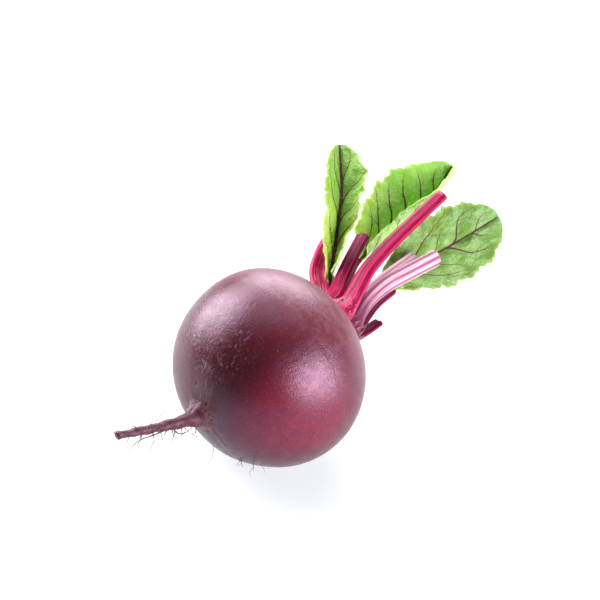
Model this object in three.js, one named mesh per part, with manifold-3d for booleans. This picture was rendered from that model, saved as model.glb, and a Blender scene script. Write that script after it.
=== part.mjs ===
import * as THREE from 'three';
import { mergeVertices } from 'three/addons/utils/BufferGeometryUtils.js';
import Module from 'manifold-3d';

// A whole beetroot lying on its side, with its cut leaf stalks and three young leaves.
// Millimetres, +Z up. The origin is the middle of the small flat spot that the root rests on.
// The crown points toward +X and a little up, and the taproot toward -X.
//
// The root's own frame, in which every piece is described: x across, y along the axis from
// the taproot to the crown, z up. Its origin is the middle of the root at its widest.

const wasm = await Module();
wasm.setup();

const degree = Math.PI / 180;

// Driving dimensions of the root
const rootRadius = 38;
const tailLength = 36.2;
const shoulderLength = 33;
const rootFullness = 2.02;
const crownTilt = 8.5 * degree;
const restHeight = 36.7;
const restShift = -1;
const restSpot = { corners: 3, reach: 8.6, turn: 180 * degree, rise: 4 * degree };
const table = { side: 200, thickness: 20, aside: 50 };
const tailBlend = 3;
const collarBlend = 6;

// The crown: a corky collar with rings, domed on top
const collarRadius = 11.4;
const collarFoot = 26;
const collarShoulder = 30.5;
const collarTop = 37.4;
const collarSquareness = 5;
const collarRingPitch = 2.2;
const collarRingHeight = 0.28;
const collarRingsFrom = 29;
const collarRingsFull = 31;

// The taproot: its root end, length, radius, and how it bends away from the axis
const taprootLength = 31.5;
const taprootTipRadius = 1.5;
const taprootTaper = 0.7;
const taprootFlare = 4.2;
const taprootFlareLength = 3.6;
const taprootBend = { across: -0.36, up: 0.22, ease: 6 };

// Shallow shapes in the skin
const lumpHeight = 0.35;
const lumpSpread = 30;
const furrowDepth = 0.55;
const furrowWidth = 13 * degree;
const furrowMiddle = -28;
const furrowSpread = 13;
const furrowAngles = [-6 * degree, 158 * degree];
const knotHeight = 0.16;
const dent = { around: -38 * degree, along: -14, depth: 0.5, spread: 9 };

// Fineness of the root's surface
const sidesAround = 38;
const rowsTail = 15;
const rowsShoulder = 11;
const rowsCollar = 9;
const rowsTaproot = 17;
const taprootRowCrowding = 1.4;

// Rootlets on the taproot and in the two furrows
const rootletSeed = 11;
const rootletsOnTaproot = 13;
const rootletsInFurrows = 6;
const rootletRadius = 0.38;
const rootletSunk = 1.4;
const taprootRootlet = { shortest: 5, spare: 6, underShare: 0.6, scatter: 150 * degree };
const furrowRootlet = { shortest: 3.5, spare: 2, reach: 9, scatter: 14 * degree };
const rootletLean = -0.7;

// Leaf stalks and blades
const stalkFineness = { sides: 12, steps: 11 };
const midribFineness = { sides: 8, steps: 22 };
const stalkGap = 0.3;
const stalkHalfDepth = 0.36;
const stalkChannel = 0.17;
const stalkRib = 0.035;
const stalkRibs = 7;
const stalkTaper = 1.6;
const bladeThickness = 0.7;
const bladeColumns = 10;
const bladeRows = 24;
const midribGap = 0.3;
const fullFoldWidth = 4;

const colours = {
  skin: { color: 0x5d1730, roughness: 0.42, metalness: 0 },
  magenta: { color: 0xa91f52, roughness: 0.4, metalness: 0 },
  pale: { color: 0xd9a9c0, roughness: 0.45, metalness: 0 },
  leaf: { color: 0x5fae35, roughness: 0.5, metalness: 0 },
};

// The cut stalks. A route runs from the crown to the cut end; inner is the channelled side.
const cutStalks = [
  {
    name: 'cut_stalk_left', colour: 'magenta', width: [6.2, 7.4], inner: [0.7, -0.3, 0.45],
    route: [
      [-7.6, 34, 1.8], [-11.6, 40.4, 2.6], [-17.6, 45.6, 4.4], [-23.4, 50.6, 7], [-27, 57.2, 9.4],
      [-30.6, 65, 10.2],
    ],
  },
  {
    name: 'cut_stalk_dark', colour: 'magenta', width: [6, 6.2], inner: [0.3, 0.2, -1],
    route: [
      [-3.4, 34, 7], [-4.4, 40.4, 8.4], [-8.2, 48.2, 9.8], [-13, 58.8, 11.4], [-17, 67, 11.6],
      [-21, 75, 11.4],
    ],
  },
  {
    name: 'cut_stalk_long', colour: 'magenta', width: [8.2, 5.4], inner: [-0.4, 0.3, -1],
    route: [
      [3.4, 34, 7], [3.4, 40, 8], [0.8, 48, 9.4], [-2.6, 58, 11.6], [-4.6, 71.4, 14],
      [-5.6, 87.4, 16.8], [-6, 108, 20.6],
    ],
  },
  {
    name: 'cut_stalk_pale_upper', colour: 'pale', width: [5.4, 5.2], inner: [-0.5, 0, -1],
    route: [
      [3, 34, -1], [0.8, 42, -1.2], [-2.6, 50, -1.4], [-6, 58, -1.8], [-6.8, 66, -1.4],
      [-6, 88.6, 0.4],
    ],
  },
  {
    name: 'cut_stalk_pale_lower', colour: 'pale', width: [6, 6.8], inner: [-1, 0, -0.3],
    route: [
      [7.7, 34, 0.8], [6.4, 40, 0.9], [3.8, 47, 2], [2.8, 54, 3.6], [2.6, 63, 4.4], [3.4, 74, 4],
      [4.6, 90.6, 3],
    ],
  },
  {
    name: 'cut_stalk_shadow', colour: 'magenta', width: [4.6, 3.8], inner: [-0.8, 0, 0.6],
    route: [[6.1, 34, -4.8], [5.6, 42, -4.8], [3.4, 50, -3.8], [1.4, 58, -3.2], [-0.2, 69, -3.6]],
  },
  {
    name: 'cut_stalk_under', colour: 'magenta', width: [5.2, 4.6], inner: [-0.1, 0, 1],
    route: [[1.7, 34, -7.6], [2, 41, -9.4], [2.2, 49, -10.6], [2, 57, -11]],
  },
  {
    name: 'cut_stalk_under_far', colour: 'magenta', width: [5, 4.4], inner: [0.4, 0, 0.9],
    route: [[-3.5, 34, -6.9], [-4.6, 42, -8.6], [-6.4, 50, -10], [-8, 58, -10.4]],
  },
  {
    name: 'cut_stalk_far', colour: 'magenta', width: [4.8, 4.2], inner: [0.9, 0, 0.4],
    route: [[-6.8, 34, -4], [-10, 41, -4.6], [-13, 49, -4.6], [-15.6, 57, -4.6]],
  },
];

// The three leaves. The stalk's route runs on as the midrib; the blade starts at that share
// of it. A fold is the angle at which that half of the blade stands up beside the midrib, and
// a curl is how much further it has turned at the margin, both at the base and at the tip.
// Opening says how long the blade keeps the angles of its base.
const leaves = [
  {
    name: 'leaf_1', width: [3.8, 1], inner: [0.62, -0.55, 0.56], bladeFrom: 0.32,
    route: [
      [-3.4, 34, 0.6], [-6.6, 40, 2.8], [-11, 45.4, 5], [-15.8, 50, 7.7], [-20.8, 59, 14.9],
      [-25.9, 68.3, 24.4], [-30.9, 75.8, 30.3], [-36.8, 82.2, 36], [-42.6, 88.4, 41.6],
    ],
    blade: {
      halfWidths: [10.4, 12.8], widest: 1.18, fullness: 0.6,
      foldLeft: [62, 48], curlLeft: [-10, -14], foldRight: [58, 14], curlRight: [62, 6], opening: 0.9,
      ruffle: 0.7, ruffles: 3.5, lobes: 7, lobeDepth: 0.05, phase: 0.4,
    },
  },
  {
    name: 'leaf_2', width: [4, 1], inner: [0.6, -0.56, 0.57], bladeFrom: 0.485,
    route: [
      [1, 34, 3], [-2.2, 41, 3.8], [-7, 48, 3.6], [-13, 57.4, 2.8], [-19.3, 68.4, 2.4], [-22.4, 78, 1.8],
      [-21.6, 90, 4], [-19.6, 103, 8], [-18.2, 116, 12.8], [-18.8, 129.4, 20],
    ],
    blade: {
      halfWidths: [20.3, 11.5], widest: 1.3, fullness: 0.55,
      foldLeft: [14, 8], curlLeft: [-12, -12], foldRight: [64, 56], curlRight: [104, 10], opening: 3,
      ruffle: 0.9, ruffles: 3, lobes: 6, lobeDepth: 0.04, phase: 2.1,
    },
  },
  {
    name: 'leaf_3', width: [4, 1], inner: [0.62, -0.55, 0.56], bladeFrom: 0.42,
    route: [
      [-1.4, 34, -2.8], [-4.4, 44, -4], [-7.6, 54, -5], [-9.8, 64, -6], [-9.4, 78, -5.6], [-7.6, 92, -4.8],
      [-4.2, 104, -3.6], [-0.4, 119.6, -1.4], [3.2, 132, 1.2],
    ],
    blade: {
      halfWidths: [15.7, 16], widest: 1.4, fullness: 0.52,
      foldLeft: [20, 12], curlLeft: [-14, -16], foldRight: [18, 12], curlRight: [-18, -20], opening: 1,
      ruffle: 1.2, ruffles: 3, lobes: 7, lobeDepth: 0.045, phase: 4,
    },
  },
];

function smoothMax(a, b, sharpness) {
  return (a ** sharpness + b ** sharpness) ** (1 / sharpness);
}

function bell(distance, spread) {
  return Math.exp(-((distance / spread) ** 2));
}

// Signed smallest angle from one direction to another
function angleBetween(from, to) {
  return Math.atan2(Math.sin(to - from), Math.cos(to - from));
}

function random(seed) {
  let state = seed;
  return () => {
    state = (state * 1664525 + 1013904223) % 4294967296;
    return state / 4294967296;
  };
}

// Root
function bodyRadius(along) {
  const reach = along < 0 ? tailLength : shoulderLength;
  const share = Math.min(1, Math.abs(along) / reach);
  return rootRadius * (1 - share ** rootFullness) ** (1 / rootFullness);
}

function taprootRadius(along) {
  const out = Math.max(0, -along - tailLength);
  const taper = taprootTaper * (1 - out / taprootLength);
  return taprootTipRadius + taper + taprootFlare * Math.exp(-out / taprootFlareLength);
}

function collarProfile(along) {
  const share = THREE.MathUtils.clamp((along - collarFoot) / (collarTop - collarFoot), 0, 1);
  return collarRadius * Math.sqrt(1 - share ** collarSquareness);
}

function rootProfileRadius(along) {
  if (along < -tailLength) return taprootRadius(along);
  if (along < 0) return smoothMax(bodyRadius(along), taprootRadius(along), tailBlend);
  if (along < collarFoot) return bodyRadius(along);
  return smoothMax(bodyRadius(along), collarProfile(along), collarBlend);
}

// Lumps, furrows, dent and collar rings, as a change of radius at a place on the skin
function skinRelief(along, around) {
  const twoLobed = Math.cos(2 * around + 0.7);
  const threeLobed = 0.7 * Math.cos(3 * around + along / 14);
  let relief = lumpHeight * bell(along, lumpSpread) * (twoLobed + threeLobed);
  const onTail = bell(along - furrowMiddle, furrowSpread);
  for (const angle of furrowAngles) {
    relief -= furrowDepth * onTail * bell(angleBetween(angle, around), furrowWidth);
  }
  const dentAcross = angleBetween(dent.around, around) * rootRadius;
  relief -= dent.depth * bell(Math.hypot(dentAcross, along - dent.along), dent.spread);
  const onCollar = THREE.MathUtils.smoothstep(along, collarRingsFrom, collarRingsFull);
  const ring = Math.cos((2 * Math.PI * (collarTop - along)) / collarRingPitch);
  return relief + collarRingHeight * onCollar * ring;
}

function taprootKnots(along, around) {
  const out = -along - tailLength;
  if (out < 2) return 0;
  return knotHeight * (Math.sin(out * 1.15 + around) + 0.75 * Math.cos(2 * around + out * 0.6));
}

function taprootOffset(along) {
  const out = Math.max(0, -along - tailLength);
  const eased = Math.hypot(out, taprootBend.ease) - taprootBend.ease;
  return { across: taprootBend.across * eased, up: taprootBend.up * eased };
}

function rootStations() {
  const stations = [];
  for (let i = 0; i < rowsTaproot; i++) {
    const share = 1 - i / rowsTaproot;
    stations.push(-tailLength - taprootLength * share ** taprootRowCrowding);
  }
  for (let i = 0; i < rowsTail; i++) {
    stations.push(-tailLength * Math.cos((i / rowsTail) * 90 * degree));
  }
  for (let i = 0; i < rowsShoulder; i++) {
    stations.push(collarShoulder * Math.sin((i / rowsShoulder) * 90 * degree));
  }
  for (let i = 0; i <= rowsCollar; i++) {
    stations.push(collarShoulder + (collarTop - collarShoulder) * Math.sin((i / rowsCollar) * 90 * degree));
  }
  return stations;
}

function rootSurface() {
  const profile = rootStations().map((along) => new THREE.Vector2(rootProfileRadius(along), along));
  const tip = new THREE.Vector2(0, profile[0].y);
  const geometry = new THREE.LatheGeometry([tip, ...profile], sidesAround);
  const position = geometry.attributes.position;
  for (let i = 0; i < position.count; i++) {
    const x = position.getX(i);
    const along = position.getY(i);
    const z = position.getZ(i);
    const radius = Math.hypot(x, z);
    const around = Math.atan2(x, z);
    const onAxis = radius < 0.01;
    const relief = onAxis ? 0 : skinRelief(along, around) + taprootKnots(along, around);
    const offset = taprootOffset(along);
    const moved = radius + relief * Math.min(1, radius / 2);
    const across = moved * Math.sin(around) + offset.across;
    const up = moved * Math.cos(around) + offset.up;
    position.setXYZ(i, across, along, up);
  }
  return geometry;
}

// Tapered thread from a start point, curving from one direction toward another
function thread(start, direction, droop, length, radius, sides, steps) {
  const middle = start.clone().addScaledVector(direction, length * 0.55);
  const end = middle.clone().addScaledVector(droop, length * 0.5);
  const curve = new THREE.QuadraticBezierCurve3(start, middle, end);
  const geometry = new THREE.CylinderGeometry(1, 1, 1, sides, steps);
  const position = geometry.attributes.position;
  for (let i = 0; i < position.count; i++) {
    const share = position.getY(i) + 0.5;
    const tangent = curve.getTangent(share);
    const side = new THREE.Vector3(0.3, 0.2, 0.93).cross(tangent).normalize();
    const front = side.clone().cross(tangent);
    const thick = radius * (1 - 0.5 * share);
    const point = curve.getPoint(share);
    point.addScaledVector(side, position.getX(i) * thick);
    point.addScaledVector(front, position.getZ(i) * thick);
    position.setXYZ(i, point.x, point.y, point.z);
  }
  return geometry;
}

function rootlets() {
  const draw = random(rootletSeed);
  const threads = [];
  for (let i = 0; i < rootletsOnTaproot; i++) {
    const along = -tailLength - 4 - (taprootLength - 5) * ((i + 0.6 * draw()) / rootletsOnTaproot);
    const side = draw() < taprootRootlet.underShare ? Math.PI : 0;
    const around = side + (draw() - 0.5) * taprootRootlet.scatter;
    const length = taprootRootlet.shortest + taprootRootlet.spare * draw();
    threads.push(rootletAt(along, around, length, draw() + rootletLean));
  }
  for (let i = 0; i < rootletsInFurrows; i++) {
    const along = -tailLength + 3 + furrowRootlet.reach * draw();
    const around = furrowAngles[i % 2] + (draw() - 0.5) * furrowRootlet.scatter;
    const length = furrowRootlet.shortest + furrowRootlet.spare * draw();
    threads.push(rootletAt(along, around, length, draw() + rootletLean));
  }
  return threads;
}

function rootletAt(along, around, length, lean) {
  const outward = new THREE.Vector3(Math.sin(around), 0, Math.cos(around));
  const offset = taprootOffset(along);
  const radius = rootProfileRadius(along);
  const start = new THREE.Vector3(offset.across, along, offset.up);
  start.addScaledVector(outward, radius - Math.min(rootletSunk, radius * 0.7));
  const direction = outward.clone().add(new THREE.Vector3(0, lean, 0)).normalize();
  const droop = new THREE.Vector3(0.4 * lean, lean - 0.4, -0.5).addScaledVector(outward, 0.5).normalize();
  return thread(start, direction, droop, length, rootletRadius, 4, 3);
}

// Stalks
function stalkFrame(curve, share, inner) {
  const tangent = curve.getTangent(share);
  const side = tangent.clone().cross(inner).normalize();
  const front = side.clone().cross(tangent);
  return { point: curve.getPoint(share), tangent, side, front };
}

function stalkWidth([atCrown, atEnd], share) {
  return THREE.MathUtils.lerp(atEnd, atCrown, (1 - share) ** stalkTaper);
}

// Section of a stalk: channelled on its inner side, ribbed on its outer side
function stalkSection(angle, width) {
  const across = Math.cos(angle);
  const deep = Math.sin(angle);
  const channel = stalkChannel * bell(across, 0.5) * Math.max(0, deep);
  const rib = 1 + stalkRib * Math.cos(stalkRibs * angle);
  return {
    side: width * rib * across / 2,
    front: width * rib * (stalkHalfDepth * deep - channel),
  };
}

function stalkGeometry({ route, width, inner }, fineness) {
  const curve = new THREE.CatmullRomCurve3(route.map((p) => new THREE.Vector3(...p)));
  const innerSide = new THREE.Vector3(...inner);
  const geometry = new THREE.CylinderGeometry(1, 1, 1, fineness.sides, fineness.steps);
  const position = geometry.attributes.position;
  for (let i = 0; i < position.count; i++) {
    const share = position.getY(i) + 0.5;
    const wall = Math.hypot(position.getX(i), position.getZ(i));
    const angle = Math.atan2(position.getZ(i), position.getX(i));
    const frame = stalkFrame(curve, share, innerSide);
    const wide = stalkWidth(width, share);
    const section = stalkSection(angle, wide);
    const point = frame.point;
    point.addScaledVector(frame.side, section.side * wall);
    point.addScaledVector(frame.front, section.front * wall);
    position.setXYZ(i, point.x, point.y, point.z);
  }
  return geometry;
}

// Blades
function bladeHalfWidth(blade, share, hand) {
  const outline = Math.sin(Math.PI * share ** blade.widest) ** blade.fullness;
  const reach = blade.halfWidths[hand < 0 ? 0 : 1];
  return Math.max(0.5, reach * outline);
}

// The angle of a half of the blade at the midrib, and how much it turns on to the margin.
// Toward the base and the tip, where a half is narrow, it lies flatter.
function bladeTurns(blade, share, hand, half) {
  const folds = hand < 0 ? blade.foldLeft : blade.foldRight;
  const curls = hand < 0 ? blade.curlLeft : blade.curlRight;
  const opened = share ** blade.opening;
  const raised = Math.min(1, half / fullFoldWidth) * degree;
  return [folds, curls].map(([base, tip]) => THREE.MathUtils.lerp(base, tip, opened) * raised);
}

function bladePoint(leaf, curve, innerSide, across, share) {
  const blade = leaf.blade;
  const along = leaf.bladeFrom + (1 - leaf.bladeFrom) * share;
  const frame = stalkFrame(curve, along, innerSide);
  const hand = Math.sign(across);
  const out = Math.abs(across);
  const wave = Math.sin(2 * Math.PI * blade.lobes * share + blade.phase + hand);
  const half = bladeHalfWidth(blade, share, hand) * (1 + blade.lobeDepth * wave);
  const [fold, curl] = bladeTurns(blade, share, hand, half);
  const turned = fold + curl * out;
  const ripple = Math.sin(2 * Math.PI * blade.ruffles * share + blade.phase + 2 * hand);
  const swell = Math.sin(Math.PI * share);
  const lift = blade.ruffle * ripple * out ** 2 * swell;
  const clear = midribGap + bladeThickness / 2 + stalkHalfDepth * stalkWidth(leaf.width, along);
  const sideways = half * (Math.sin(turned) - Math.sin(fold)) / curl - lift * Math.sin(turned);
  const forward = half * (Math.cos(fold) - Math.cos(turned)) / curl + lift * Math.cos(turned);
  const point = frame.point;
  point.addScaledVector(frame.side, hand * sideways);
  point.addScaledVector(frame.front, clear + forward);
  return point;
}

// One sheet of even thickness, split into the same triangles on both faces
function sheetBothFaces(surface, columns, rows, thickness) {
  const plane = new THREE.PlaneGeometry(2, 1, columns, rows);
  const position = plane.attributes.position;
  for (let i = 0; i < position.count; i++) {
    const point = surface(position.getX(i), position.getY(i) + 0.5);
    position.setXYZ(i, point.x, point.y, point.z);
  }
  plane.computeVertexNormals();
  const normal = plane.attributes.normal;
  const count = position.count;
  const vertices = new Float32Array(count * 6);
  for (let i = 0; i < count; i++) {
    const point = new THREE.Vector3().fromBufferAttribute(position, i);
    const half = new THREE.Vector3().fromBufferAttribute(normal, i).multiplyScalar(thickness / 2);
    point.clone().add(half).toArray(vertices, i * 3);
    point.clone().sub(half).toArray(vertices, (count + i) * 3);
  }
  const faces = [];
  const index = plane.index.array;
  for (let i = 0; i < index.length; i += 3) {
    faces.push(index[i], index[i + 1], index[i + 2]);
    faces.push(count + index[i], count + index[i + 2], count + index[i + 1]);
  }
  const rim = rimOfGrid(columns, rows);
  for (let i = 0; i < rim.length; i++) {
    const here = rim[i];
    const next = rim[(i + 1) % rim.length];
    faces.push(here, count + here, next);
    faces.push(next, count + here, count + next);
  }
  const geometry = new THREE.BufferGeometry();
  geometry.setAttribute('position', new THREE.BufferAttribute(vertices, 3));
  geometry.setIndex(faces);
  return geometry;
}

// Vertices round the edge of a plane grid, counter-clockwise seen from its front
function rimOfGrid(columns, rows) {
  const at = (column, row) => row * (columns + 1) + column;
  const rim = [];
  for (let column = columns; column > 0; column--) rim.push(at(column, 0));
  for (let row = 0; row < rows; row++) rim.push(at(0, row));
  for (let column = 0; column < columns; column++) rim.push(at(column, rows));
  for (let row = rows; row > 0; row--) rim.push(at(columns, row));
  return rim;
}

function bladeGeometry(leaf) {
  const curve = new THREE.CatmullRomCurve3(leaf.route.map((p) => new THREE.Vector3(...p)));
  const innerSide = new THREE.Vector3(...leaf.inner);
  const surface = (across, share) => bladePoint(leaf, curve, innerSide, across, share);
  return sheetBothFaces(surface, bladeColumns, bladeRows, bladeThickness);
}

// Solids and meshes
function solidOf(geometry) {
  const bare = geometry.clone();
  bare.deleteAttribute('normal');
  bare.deleteAttribute('uv');
  const merged = mergeVertices(bare, 1e-3);
  return new wasm.Manifold(new wasm.Mesh({
    numProp: 3,
    vertProperties: new Float32Array(merged.attributes.position.array),
    triVerts: new Uint32Array(merged.index.array),
  }));
}

function geometryOf(solid) {
  const mesh = solid.getMesh();
  const geometry = new THREE.BufferGeometry();
  geometry.setAttribute('position', new THREE.BufferAttribute(new Float32Array(mesh.vertProperties), 3));
  geometry.setIndex(Array.from(mesh.triVerts));
  return geometry;
}

function meshOf(name, geometry, colour) {
  geometry.computeVertexNormals();
  const mesh = new THREE.Mesh(geometry, new THREE.MeshStandardMaterial(colours[colour]));
  mesh.name = name;
  return mesh;
}

// From the root's own frame to the frame of the whole
const lying = new THREE.Matrix4().makeRotationFromEuler(new THREE.Euler(0, -crownTilt, -90 * degree));
lying.setPosition(restShift, 0, restHeight);

// The room below the root: the table, and a gentle rise outside each edge of the flat spot,
// which leaves the spot three corners to stand on
function belowRoot() {
  const slab = () => new THREE.BoxGeometry(table.side, table.side, table.thickness)
    .translate(0, table.aside, -table.thickness / 2);
  let below = solidOf(slab());
  for (let corner = 0; corner < restSpot.corners; corner++) {
    const outward = restSpot.turn + (2 * corner + 1) * Math.PI / restSpot.corners;
    const rising = slab().rotateY(-restSpot.rise);
    rising.translate(restSpot.reach * Math.cos(Math.PI / restSpot.corners), 0, 0);
    below = below.add(solidOf(rising.rotateZ(outward)));
  }
  return below;
}

function rootMesh() {
  let solid = solidOf(rootSurface().applyMatrix4(lying));
  for (const rootlet of rootlets()) {
    solid = solid.add(solidOf(rootlet.applyMatrix4(lying)));
  }
  return meshOf('root', geometryOf(solid.subtract(belowRoot())), 'skin');
}

// The crown and a thin layer of air over it, to cut the stalk bases to
function crownClearance() {
  const profile = rootStations()
    .filter((along) => along > 0)
    .map((along) => {
      const radius = rootProfileRadius(along) + collarRingHeight + stalkGap;
      return new THREE.Vector2(radius, along + stalkGap);
    });
  const foot = new THREE.Vector2(0, profile[0].y);
  const top = new THREE.Vector2(0, collarTop + stalkGap);
  return new THREE.LatheGeometry([foot, ...profile, top], sidesAround);
}

function stalkMesh(name, stalk, fineness, clearance, colour) {
  const solid = solidOf(stalkGeometry(stalk, fineness)).subtract(clearance);
  return meshOf(name, geometryOf(solid).applyMatrix4(lying), colour);
}

function bladeMesh(leaf) {
  return meshOf(`${leaf.name}_blade`, bladeGeometry(leaf).applyMatrix4(lying), 'leaf');
}

const beetroot = new THREE.Group();
beetroot.name = 'beetroot';
beetroot.add(rootMesh());
const clearance = solidOf(crownClearance());
for (const stalk of cutStalks) {
  beetroot.add(stalkMesh(stalk.name, stalk, stalkFineness, clearance, stalk.colour));
}
for (const leaf of leaves) {
  beetroot.add(stalkMesh(`${leaf.name}_stalk`, leaf, midribFineness, clearance, 'magenta'));
  beetroot.add(bladeMesh(leaf));
}

export default beetroot;
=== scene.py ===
import math
import random

import bmesh
import bpy
import numpy as np
from bpy.props import (
    FloatProperty,
    FloatVectorProperty,
    IntProperty,
    PointerProperty,
)
from mathutils import Matrix, Vector


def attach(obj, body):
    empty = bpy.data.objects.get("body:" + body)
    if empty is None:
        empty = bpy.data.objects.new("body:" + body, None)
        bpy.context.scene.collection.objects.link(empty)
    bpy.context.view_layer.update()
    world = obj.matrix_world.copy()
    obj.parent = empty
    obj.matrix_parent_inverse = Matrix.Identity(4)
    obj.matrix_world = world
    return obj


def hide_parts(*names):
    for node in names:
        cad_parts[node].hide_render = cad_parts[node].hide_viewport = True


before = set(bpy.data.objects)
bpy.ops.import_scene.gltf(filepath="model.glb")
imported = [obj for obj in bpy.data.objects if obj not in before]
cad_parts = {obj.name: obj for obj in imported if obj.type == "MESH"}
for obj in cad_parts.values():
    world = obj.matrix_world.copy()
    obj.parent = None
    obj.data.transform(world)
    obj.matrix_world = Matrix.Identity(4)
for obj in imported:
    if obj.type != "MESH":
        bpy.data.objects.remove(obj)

# A whole beetroot lying on its side, dressed for rendering: fine skin, rootlets, ribbed
# stalks and veined leaves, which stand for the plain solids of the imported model.
# Shapes are worked out in millimetres in the root's own frame: x across, y along the axis
# from the taproot to the crown, z up, from the middle of the root at its widest.

bl_info = {
    "name": "Beetroot",
    "version": (1, 0, 0),
    "blender": (4, 5, 0),
    "location": "3D View > Sidebar > Beetroot",
    "description": "Adds a beetroot with its rootlets, cut stalks and young leaves",
    "category": "Object",
}

MM = 0.001
BODY = "root"
CROWN_TILT = math.radians(8.5)
REST_HEIGHT = 36.7
REST_SHIFT = -1.0
# The flat spot under the root has three edges: the directions of their middles, the distance
# to them in mm, and how steeply the skin rises beyond them
REST_EDGES = np.radians((60, 180, 300)) + math.pi
REST_EDGE = 4.3
REST_RISE = math.tan(math.radians(4))

# The root's profile, as in the solid
ROOT_RADIUS = 38.0
TAIL_LENGTH = 36.2
SHOULDER_LENGTH = 33.0
ROOT_FULLNESS = 2.02
TAIL_BLEND = 3.0
COLLAR_BLEND = 6.0
COLLAR_RADIUS = 11.4
COLLAR_FOOT = 26.0
COLLAR_SHOULDER = 30.5
COLLAR_TOP = 37.4
COLLAR_SQUARENESS = 5.0
COLLAR_RING_PITCH = 2.2
COLLAR_RING_HEIGHT = 0.28
TAPROOT_LENGTH = 31.5
TAPROOT_TIP_RADIUS = 1.5
TAPROOT_TAPER = 0.7
TAPROOT_FLARE = 4.2
TAPROOT_FLARE_LENGTH = 3.6
TAPROOT_BEND_ACROSS = -0.36
TAPROOT_BEND_UP = 0.22
TAPROOT_BEND_EASE = 6.0
FURROW_ANGLES = (math.radians(-6), math.radians(158))
FURROW_WIDTH = math.radians(13)
FURROW_DEPTH = 0.55
FURROW_MIDDLE = -28
FURROW_REACH = 13
DENT_ANGLE = math.radians(-38)
DENT_MIDDLE = -14
DENT_DEPTH = 0.5
DENT_SPREAD = 9
LUMP_HEIGHT = 0.35
LUMP_REACH = 30
KNOT_HEIGHT = 0.16
SMALLEST_HEIGHT = 0.0003

# The solid's rootlets are drawn at random with these numbers, and so are these
DRAW_START = 11
DRAW_FACTOR = 1664525
DRAW_STEP = 1013904223
DRAW_RANGE = 2 ** 32

# Scars of lateral roots: along, around in degrees, and size
SCARS = (
    (-31.2, 0, 0.8), (-31.4, 8, 0.55), (-34.2, -10, 0.75), (-34.2, 10, 0.6), (-34.3, 23, 0.6),
    (-35.9, 30, 0.8), (-36.2, 4, 0.7), (-35.2, 18, 0.55), (-34.2, -34, 0.4), (-36.6, 62, 0.8),
    (-36.9, 44, 0.7), (-36.5, 86, 0.7), (-35.9, 128, 0.9), (-35.5, 138, 0.8), (-34.6, 141, 0.7),
    (-33.6, 146, 0.9), (-31.4, 150, 0.8), (-29.2, 156, 0.9), (-26.4, 163, 0.8), (-23.0, 158, 0.7),
    (-33.0, -128, 0.9), (-31.0, -140, 0.9), (-28.0, -150, 0.7), (-25.5, -158, 0.8),
    (-35.4, -96, 0.8), (-38.4, -38, 0.7), (-39.8, -52, 0.7), (-41.6, -46, 0.6), (-37.4, -24, 0.7),
    (-52.5, -60, 0.6), (-55.0, -48, 0.5), (-57.8, -55, 0.6), (-61.2, -50, 0.5), (-47.5, 150, 0.6),
    (-54.5, 140, 0.6), (-44.6, 128, 0.6), (-50.4, -150, 0.6), (-42.5, -120, 0.6),
)
# Hairs that stand clear of the taproot, as points in the root's own frame, and thickness
HAIRS = (
    (0.34, ((-3.4, -51.5, 0.6), (-4.1, -53.5, 0.4), (-5.5, -56.3, 0.0), (-7.4, -59.1, -0.6),
            (-8.5, -62.2, -1.8), (-8.6, -64.9, -3.8))),
    (0.2, ((-2.6, -50.4, 0.6), (-2.4, -51.9, -0.2), (-2.2, -53.2, -1.1), (-2.4, -54.6, -2.2))),
    (0.11, ((-6.0, -52.0, 4.2), (-5.2, -50.3, 6.1), (-3.9, -47.7, 7.3), (-1.3, -45.7, 6.6),
            (-0.8, -44.6, 4.2))),
    (0.3, ((-3.0, -48.3, 0.3), (-2.5, -47.9, -0.5), (-0.6, -47.4, -1.9), (1.1, -45.9, -1.9),
           (2.3, -44.4, -0.9), (3.0, -42.9, 0.6))),
    (0.13, ((-3.3, -30.2, -19.6), (-3.5, -30.7, -20.9), (-2.6, -31.9, -22.6), (-2.3, -34.1, -24.6),
            (-3.0, -35.4, -25.6))),
    (0.12, ((0.2, -45.9, 1.9), (3.0, -45.5, -0.3), (4.9, -44.8, -1.6), (5.4, -43.6, -3.2))),
    (0.1, ((1.0, -42.5, -1.6), (2.6, -43.2, -3.6), (4.6, -42.2, -4.4), (6.0, -40.6, -4.2))),
    (0.1, ((2.2, -40.5, -2.6), (2.0, -42.6, -4.6), (3.4, -44.0, -5.8))),
    (0.2, ((-7.4, -57.4, 1.4), (-8.2, -58.6, 0.2), (-8.6, -60.8, -0.6))),
)

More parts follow.
